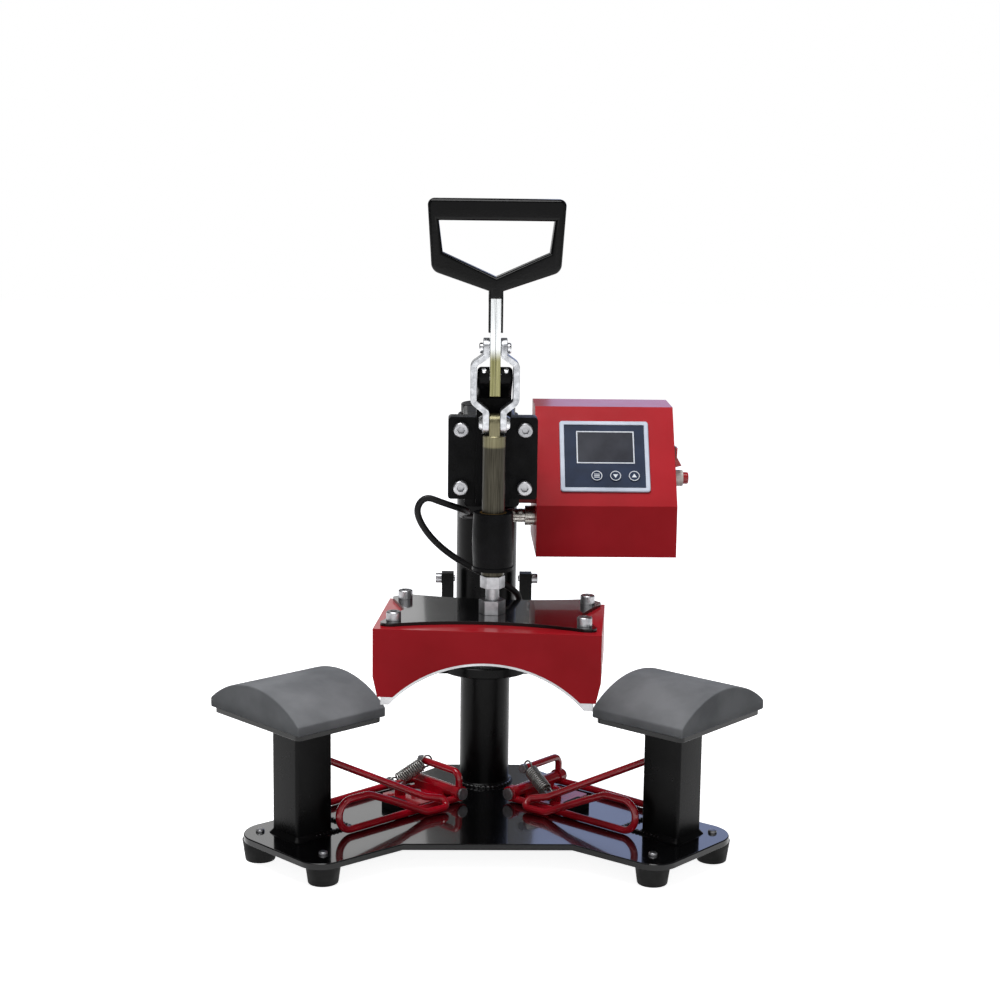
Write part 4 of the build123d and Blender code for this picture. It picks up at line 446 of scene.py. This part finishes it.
def dressNode(node, finish, width, rides=True):
    source = frame["nodes"][node]
    mesh = source.data.copy()
    if "custom_normal" in mesh.attributes:
        mesh.attributes.remove(mesh.attributes["custom_normal"])
    shape = bmesh.new()
    shape.from_mesh(mesh)
    bmesh.ops.remove_doubles(shape, verts=shape.verts, dist=dressing["merge"])
    bmesh.ops.dissolve_limit(shape, angle_limit=dressing["flattest"], verts=shape.verts, edges=shape.edges)
    for face in shape.faces:
        face.smooth = True
    shape.to_mesh(mesh)
    shape.free()
    mesh.set_sharp_from_angle(angle=dressing["sharpest"])
    body = source["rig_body"] if rides else None
    piece = placePiece(node + "_skin", mesh, body, finish, [node])
    if width:
        softenEdges(piece, width)
    return piece


standCoats = {
    "base_plate": (glossBlack, 0.0004), "pad_plates": (glossBlack, 0.0006), "column": (satinBlack, 0.0004),
    "column_cap": (satinBlack, 0.0004), "stop_collar": (satinBlack, 0.0004),
    "pad_posts": (satinBlack, 0.0004), "rubber_feet": (footRubber, 0.001),
    "rubber_buffers": (footRubber, 0.0006), "foot_screws": (zincSteel, 0.0003),
    "collar_screws": (zincSteel, 0.0004), "thrust_washer": (zincSteel, 0.0002),
    "hinge_bases": (crimsonCoat, 0.0004), "hinge_bolts": (zincSteel, 0.0003),
}
headCoats = {
    "sleeve": (satinBlack, 0.0003), "sleeve_bushes": (bushBronze, 0), "swing_arm": (satinBlack, 0.0006),
    "clamp_body": (castBlack, 0.0005), "clamp_screws": (zincSteel, 0.0002), "rod_bush": (bushBronze, 0),
    "fork_pin": (brightSteel, 0.0002), "control_bracket": (redCoatPaintedShade, 0.0004),
    "box_screws": (zincSteel, 0.0004), "control_box": (redCoat, 0.0007), "box_cover": (redCoat, 0.0004),
    "controller_bezel": (bezelPlastic, 0.0004), "controller_body": (panelPlastic, 0.0001),
    "display_window": (displayPlastic, 0.0001), "rocker_frame": (switchBlack, 0.0004),
    "button_barrel": (barrelWhite, 0.0005), "box_socket": (nickelPlate, 0.0004),
    "cable_plug": (nickelPlate, 0.0004), "inlet_gland": (switchBlack, 0.0005),
}
movingCoats = {
    "plunger_rod": (plungerZinc, 0.0003), "heater_stud": (zincSteel, 0.0006),
    "lock_nut": (zincSteel, 0.0006), "heater_plate": (glossBlack, 0.0005),
    "heater_screws": (zincSteel, 0.0002), "heater_housing": (redCoat, 0.0006),
    "heater_insulation": (insulationWool, 0), "heater_element": (elementSteel, 0),
    "heater_platen": (platenAlloy, 0.0005), "heater_gland": (switchBlack, 0.0006),
    "lever_plates": (leverSteelPaintedHighlight, 0.0005), "handle_grip": (gripPlastic, 0),
    "link_pin": (brightSteel, 0.0002), "link_plates": (linkSteel, 0.0012),
    "link_rivets": (brightSteel, 0.0005), "left_cap_frame": (crimsonCoat, 0),
    "right_cap_frame": (crimsonCoat, 0), "left_frame_fasteners": (zincSteel, 0.0004),
    "right_frame_fasteners": (zincSteel, 0.0004), "key_set": (panelPlastic, 0),
    "key_down": (panelPlastic, 0), "key_up": (panelPlastic, 0), "power_rocker": (rockerRed, 0.0006),
    "push_button": (buttonRed, 0.0005),
}
for coats in (standCoats, headCoats, movingCoats):
    for node, (finish, width) in coats.items():
        dressNode(node, finish, width)
print("stage: CAD nodes dressed")


# curved rubber pads
pad = {
    "length": 0.102, "width": 0.134, "skirt": 0.009, "crown": 0.024, "edge": 0.0014, "edgeSegments": 3,
    "steps": 36, "sharpest": radians(40), "corner": radians(25),
}


def stationMatrix(side):
    # X out along the station, Y across it
    turn = atan2(-cos(stationAngle), side * sin(stationAngle))
    return Matrix.Translation((0, columnY, 0)) @ Matrix.Rotation(turn, 4, "Z")


def buildPads():
    padsLow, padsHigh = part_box("silicone_pads")
    skirtTop = padsLow.z + pad["skirt"]
    radius = ((pad["width"] / 2) ** 2 + pad["crown"] ** 2) / (2 * pad["crown"])
    centre = Vector((0, 0, skirtTop + pad["crown"] - radius))
    half = atan2(pad["width"] / 2, radius - pad["crown"])
    out = (columnY - (padsLow.y + padsHigh.y) / 2) / cos(stationAngle)
    whole = bmesh.new()
    for side in (-1, 1):
        shape = bmesh.new()
        corner = shape.verts.new((0, -pad["width"] / 2, skirtTop))
        bmesh.ops.spin(
            shape, geom=[corner], cent=centre, axis=(-1, 0, 0), angle=2 * half, steps=pad["steps"],
            use_merge=False,
        )
        ends = [vert for vert in shape.verts if vert.co.z < skirtTop + 1e-6]
        low = bmesh.ops.duplicate(shape, geom=ends)["geom"]
        bmesh.ops.translate(shape, verts=low, vec=(0, 0, -pad["skirt"]))
        ends.sort(key=lambda vert: vert.co.y)
        low.sort(key=lambda vert: vert.co.y)
        for one, other in ((ends[0], low[0]), (low[0], low[1]), (low[1], ends[1])):
            shape.edges.new((one, other))
        bmesh.ops.contextual_create(shape, geom=shape.edges[:])
        bmesh.ops.translate(shape, verts=shape.verts, vec=(out - pad["length"] / 2, 0, 0))
        grown = bmesh.ops.extrude_face_region(shape, geom=shape.faces[:])["geom"]
        moved = [item for item in grown if isinstance(item, bmesh.types.BMVert)]
        bmesh.ops.translate(shape, verts=moved, vec=(pad["length"], 0, 0))
        bmesh.ops.recalc_face_normals(shape, faces=shape.faces)
        sharp = [edge for edge in shape.edges if edge.calc_face_angle(0) > pad["corner"]]
        bmesh.ops.bevel(
            shape, geom=sharp, offset=pad["edge"], offset_type="OFFSET", segments=pad["edgeSegments"],
            profile=0.5, affect="EDGES", material=-1,
        )
        bmesh.ops.transform(shape, matrix=stationMatrix(side), verts=shape.verts)
        part = bpy.data.meshes.new("padPart")
        shape.to_mesh(part)
        shape.free()
        whole.from_mesh(part)
    for face in whole.faces:
        face.smooth = True
    mesh = bpy.data.meshes.new("siliconePads")
    whole.to_mesh(mesh)
    whole.free()
    mesh.set_sharp_from_angle(angle=pad["sharpest"])
    piece = placePiece("siliconePads", mesh, "stand", padRubber, ["silicone_pads"])


buildPads()
print("stage: pads built")


def buildSpring(node):
    piece = dressNode(node, springSteel, 0, rides=False)
    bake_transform(piece)


for node, frameBody, side in (("left_spring", "left_frame", -1), ("right_spring", "right_frame", 1)):
    buildSpring(node)


# heater cable, a bent lead from the plug to the elbow behind the heater
cable = {
    "diameter": 0.006, "sides": 16, "plugEnd": 0.015, "plugY": -0.080, "plugZ": 0.3187,
    "glandAcross": 0.0202, "glandBehind": 0.067, "glandTop": 0.2443, "heaterSkew": radians(5.8),
    "slackFrom": 60,
}
glandSpot = (
    Matrix.Translation((0, pressY - columnY, 0))
    @ Matrix.Rotation(-cable["heaterSkew"], 4, "Z")
    @ Vector((cable["glandAcross"], cable["glandBehind"], 0))
)
cableRoute = [
    (cable["plugEnd"], cable["plugY"], cable["plugZ"]),
    (-0.006, cable["plugY"], cable["plugZ"]),
    (-0.022, -0.094, 0.320),
    (-0.027, -0.121, 0.326),
    (-0.025, -0.154, 0.335),
    (-0.020, -0.186, 0.3415),
    (-0.045, -0.194, 0.351),
    (-0.060, -0.195, 0.357),
    (-0.0685, -0.195, 0.346),
    (-0.064, -0.194, 0.331),
    (-0.050, -0.193, 0.313),
    (-0.029, -0.192, 0.297),
    (-0.005, -0.190, 0.284),
    (0.013, -0.186, 0.274),
    (0.024, -0.1785, 0.265),
    (glandSpot.x, glandSpot.y, 0.257),
    (glandSpot.x, glandSpot.y, cable["glandTop"]),
]


def routePoints(points):
    # points read off the smooth line of the route's spline
    curve = bpy.data.curves.new("cableLine", "CURVE")
    curve.dimensions = "3D"
    spline = curve.splines.new("NURBS")
    spline.points.add(len(points) - 1)
    for point, (x, y, z) in zip(spline.points, points):
        point.co = (x, columnY + y, z, 1)
    spline.order_u = 3
    spline.use_endpoint_u = True
    curve.resolution_u = 10
    holder = bpy.data.objects.new("cableLine", curve)
    line = bpy.data.meshes.new_from_object(holder)
    found = [vert.co.copy() for vert in line.vertices]
    bpy.data.objects.remove(holder)
    return found


def tubeAlong(points, radii, sides):
    # a round tube whose rings follow the points, one radius for each
    shape = bmesh.new()
    rings = []
    up = Vector((0, 0, 1))
    for index, (point, radius) in enumerate(zip(points, radii)):
        ahead = points[min(index + 1, len(points) - 1)] - points[max(index - 1, 0)]
        ahead.normalize()
        up = (up - ahead * up.dot(ahead)).normalized()
        turn = Matrix((ahead.cross(up), up, ahead)).transposed().to_4x4()
        ring = bmesh.ops.create_circle(
            shape, segments=sides, radius=radius, matrix=Matrix.Translation(point) @ turn
        )["verts"]
        rings.append(ring)
    around = [[edge for edge in shape.edges if edge.verts[0] in ring] for ring in map(set, rings)]
    for one, other in zip(around, around[1:]):
        bmesh.ops.bridge_loops(shape, edges=one + other)
    for ring in (rings[0], rings[-1]):
        bmesh.ops.contextual_create(shape, geom=ring)
    bmesh.ops.recalc_face_normals(shape, faces=shape.faces)
    for face in shape.faces:
        face.smooth = True
    return shape


def meshFrom(name, shape, sharpest=50):
    mesh = bpy.data.meshes.new(name)
    shape.to_mesh(mesh)
    shape.free()
    mesh.set_sharp_from_angle(angle=radians(sharpest))
    return mesh


linePoints = routePoints(cableRoute)
lineRadii = [cable["diameter"] / 2] * len(linePoints)
cableMesh = meshFrom("heaterCable", tubeAlong(linePoints, lineRadii, cable["sides"]))
cableMesh.materials.append(cableJacket)
heaterCable = bpy.data.objects.new("heaterCable", cableMesh)
bpy.context.scene.collection.objects.link(heaterCable)
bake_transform(heaterCable)
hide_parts("heater_cable")


# bright pin shoulders beside the lever
def buildPinShoulders():
    shoulder = {
        "radius": 0.0029, "taper": 0.72, "width": 0.0022, "edge": 0.0004,
        "across": 0.0096, "out": 0.0085, "tilt": radians(45),
    }
    pinLow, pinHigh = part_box("fork_pin")
    whole = bmesh.new()
    for side in (-1, 1):
        place = (
            Matrix.Translation((pinLow + pinHigh) / 2)
            @ Matrix.Translation((side * shoulder["across"], 0, 0))
            @ Matrix.Rotation(shoulder["tilt"], 4, "X")
            @ Matrix.Translation((0, 0, shoulder["out"]))
        )
        bmesh.ops.create_cone(
            whole, cap_ends=True, segments=32, radius1=shoulder["radius"],
            radius2=shoulder["radius"] * shoulder["taper"], depth=shoulder["width"], matrix=place,
        )
    mesh = meshFrom("pinShoulders", whole, 30)
    piece = placePiece("pinShoulders", mesh, "swing_head", brightSteel)
    softenEdges(piece, shoulder["edge"])


buildPinShoulders()


# ribbed boots where the cable leaves its plug and its gland
def buildBoot(name, boot, body):
    # a cone with a groove in every four steps but the first and the last
    points, radii = [], []
    steps = boot["rings"] * 4
    for step in range(steps + 1):
        along = step / steps
        points.append(Vector(boot["start"]) + Vector(boot["ahead"]) * boot["length"] * along)
        grooved = step % 4 in (1, 2) and 1 < step < steps - 2
        radius = boot["wide"] + (boot["narrow"] - boot["wide"]) * along
        radii.append(radius - (boot["groove"] if grooved else 0))
    mesh = meshFrom(name, tubeAlong(points, radii, 24), 28)
    placePiece(name, mesh, body, cableJacket)


plugMiddle = Vector((0, columnY + cable["plugY"], cable["plugZ"]))
plugBoot = {
    "length": 0.016, "wide": 0.0050, "narrow": 0.0033, "groove": 0.0005, "rings": 5,
    "start": plugMiddle + Vector((0.0165, 0, 0)), "ahead": (-1, 0, 0),
}
glandBoot = {
    "length": 0.009, "wide": 0.0046, "narrow": 0.0034, "groove": 0.0004, "rings": 3,
    "start": (glandSpot.x, columnY + glandSpot.y, 0.2495), "ahead": (0, 0, 1),
}
buildBoot("plugBoot", plugBoot, "swing_head")
buildBoot("glandBoot", glandBoot, "plunger")


def buildKnurl():
    # two milled bands on the plug's lock ring
    knurl = {"teeth": 48, "radius": 0.00662, "tooth": 0.00022, "width": 0.0035, "places": (0.0285, 0.0215)}
    whole = bmesh.new()
    for place in knurl["places"]:
        centre = plugMiddle + Vector((place, 0, 0))
        lip = bmesh.ops.create_circle(
            whole, segments=2 * knurl["teeth"], radius=knurl["radius"],
            matrix=Matrix.Translation(centre) @ Matrix.Rotation(radians(90), 4, "Y"),
        )["verts"]
        for index, vert in enumerate(lip):
            if index % 2:
                vert.co -= (vert.co - centre).normalized() * knurl["tooth"]
        rim = bmesh.ops.contextual_create(whole, geom=lip)["faces"]
        grown = bmesh.ops.extrude_face_region(whole, geom=rim)["geom"]
        moved = [item for item in grown if isinstance(item, bmesh.types.BMVert)]
        bmesh.ops.translate(whole, verts=moved, vec=(knurl["width"], 0, 0))
    bmesh.ops.recalc_face_normals(whole, faces=whole.faces)
    placePiece("plugKnurl", meshFrom("plugKnurl", whole, 20), "swing_head", nickelPlate)


buildKnurl()
print("stage: boots and knurl built")


# weld beads at the column's foot and round the posts
def buildWeld(name, path, weld):
    # a lumpy bead along a closed path, four rings of the tube to each ripple
    points, radii = [], []
    for index, (one, other) in enumerate(zip(path, path[1:] + path[:1])):
        count = max(1, round((other - one).length / weld["pitch"] * 4))
        for step in range(count):
            points.append(one.lerp(other, step / count))
            radii.append(weld["radius"] * (1 + weld["lump"] * sin(len(points) * tau / 4)))
    points.append(points[0].copy())
    radii.append(radii[0])
    mesh = meshFrom(name, tubeAlong(points, radii, 10), 60)
    placePiece(name, mesh, "stand", glossBlack)


weld = {
    "pitch": 0.0042, "lump": 0.16, "radius": 0.0021, "height": baseTop + 0.0006,
    "columnRadius": 0.0268, "columnSteps": 36, "postMiddle": 0.2145, "postOut": 0.0216, "postAcross": 0.0196,
}
columnRing = [
    Vector((weld["columnRadius"] * cos(turn), columnY + weld["columnRadius"] * sin(turn), weld["height"]))
    for turn in (step * tau / weld["columnSteps"] for step in range(weld["columnSteps"]))
]
buildWeld("columnWeld", columnRing, weld)
for side, label in ((-1, "left"), (1, "right")):
    postRing = [
        stationMatrix(side)
        @ Vector((weld["postMiddle"] + out * weld["postOut"], across * weld["postAcross"], weld["height"]))
        for out, across in ((-1, -1), (1, -1), (1, 1), (-1, 1))
    ]
    buildWeld(label + "PostWeld", postRing, weld)
print("stage: welds laid")


# white print on the controller: display outline, key rings and plain symbols
printed = {
    "slope": radians(54.36843), "thick": 0.00012, "displayLift": 0.0005, "keyLift": 0.00214,
    "frameHalf": (0.0276, 0.0172), "frameLine": 0.0011,
    "ringRadius": 0.0051, "ringLine": 0.00065, "ringSteps": 40,
    "barHalf": 0.0026, "barThick": 0.0007, "barPlaces": (-0.0020, -0.0004, 0.0012),
    "arrowHalf": 0.0024, "arrowBack": 0.0015, "arrowTip": 0.0023,
}


def printPlace(node, lift):
    low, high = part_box(node)
    turn = Matrix.Rotation(printed["slope"], 4, "X")
    return Matrix.Translation((low + high) / 2) @ turn @ Matrix.Translation((0, 0, lift))


def addOutline(shape, corners, line, matrix):
    # a closed line of even width, drawn inwards from the corners
    verts = [shape.verts.new((x, y, 0)) for x, y in corners]
    face = shape.faces.new(verts)
    face.normal_update()
    bmesh.ops.inset_region(shape, faces=[face], thickness=line, use_even_offset=True, use_boundary=True)
    bmesh.ops.delete(shape, geom=[face], context="FACES")
    ringFaces = [f for f in shape.faces if any(v in verts for v in f.verts)]
    raisePrint(shape, ringFaces, matrix)


def addPatch(shape, corners, matrix):
    face = shape.faces.new([shape.verts.new((x, y, 0)) for x, y in corners])
    raisePrint(shape, [face], matrix)


def raisePrint(shape, faces, matrix):
    grown = bmesh.ops.extrude_face_region(shape, geom=faces)["geom"]
    moved = [item for item in grown if isinstance(item, bmesh.types.BMVert)]
    bmesh.ops.translate(shape, verts=moved, vec=(0, 0, printed["thick"]))
    touched = list({vert for vert in moved} | {vert for face in faces for vert in face.verts})
    bmesh.ops.transform(shape, matrix=matrix, verts=touched)


def finishPrint(name, shape, body):
    bmesh.ops.recalc_face_normals(shape, faces=shape.faces)
    placePiece(name, meshFrom(name, shape, 30), body, printWhite)


def buildPrint():
    outline = bmesh.new()
    half = printed["frameHalf"]
    corners = [(-half[0], -half[1]), (half[0], -half[1]), (half[0], half[1]), (-half[0], half[1])]
    addOutline(outline, corners, printed["frameLine"], printPlace("display_window", printed["displayLift"]))
    finishPrint("displayOutline", outline, "swing_head")
    turns = [step * tau / printed["ringSteps"] for step in range(printed["ringSteps"])]
    ring = [(printed["ringRadius"] * cos(turn), printed["ringRadius"] * sin(turn)) for turn in turns]
    wide, thick = printed["barHalf"], printed["barThick"]
    bars = [[(-wide, y), (wide, y), (wide, y + thick), (-wide, y + thick)] for y in printed["barPlaces"]]
    wide, back, tip = printed["arrowHalf"], printed["arrowBack"], printed["arrowTip"]
    down = [[(-wide, back), (0, -tip), (wide, back)]]
    up = [[(-wide, -back), (wide, -back), (0, tip)]]
    keys = (("key_set", "set_key", bars), ("key_down", "down_key", down), ("key_up", "up_key", up))
    for node, body, marks in keys:
        shape = bmesh.new()
        place = printPlace(node, printed["keyLift"])
        addOutline(shape, ring, printed["ringLine"], place)
        for mark in marks:
            addPatch(shape, mark, place)
        finishPrint(body + "_print", shape, body)


buildPrint()
print("stage: controller print made")


# floor
def buildFloor():
    shape = bmesh.new()
    bmesh.ops.create_grid(shape, x_segments=2, y_segments=2, size=studio["floorSize"] / 2)
    mesh = bpy.data.meshes.new("studioFloor")
    shape.to_mesh(mesh)
    shape.free()
    floor = bpy.data.objects.new("studioFloor", mesh)
    bpy.context.scene.collection.objects.link(floor)
    finish, tree, shader = startFinish("floorPaper", {"roughness": 0.9})
    shader.inputs["Base Color"].default_value = studio["floorTint"]
    shader.inputs["Emission Color"].default_value = (1, 1, 1, 1)
    shader.inputs["Emission Strength"].default_value = studio["floorGlow"]
    mesh.materials.append(finish)
    floor.visible_diffuse = False


buildFloor()
print("stage: floor laid")
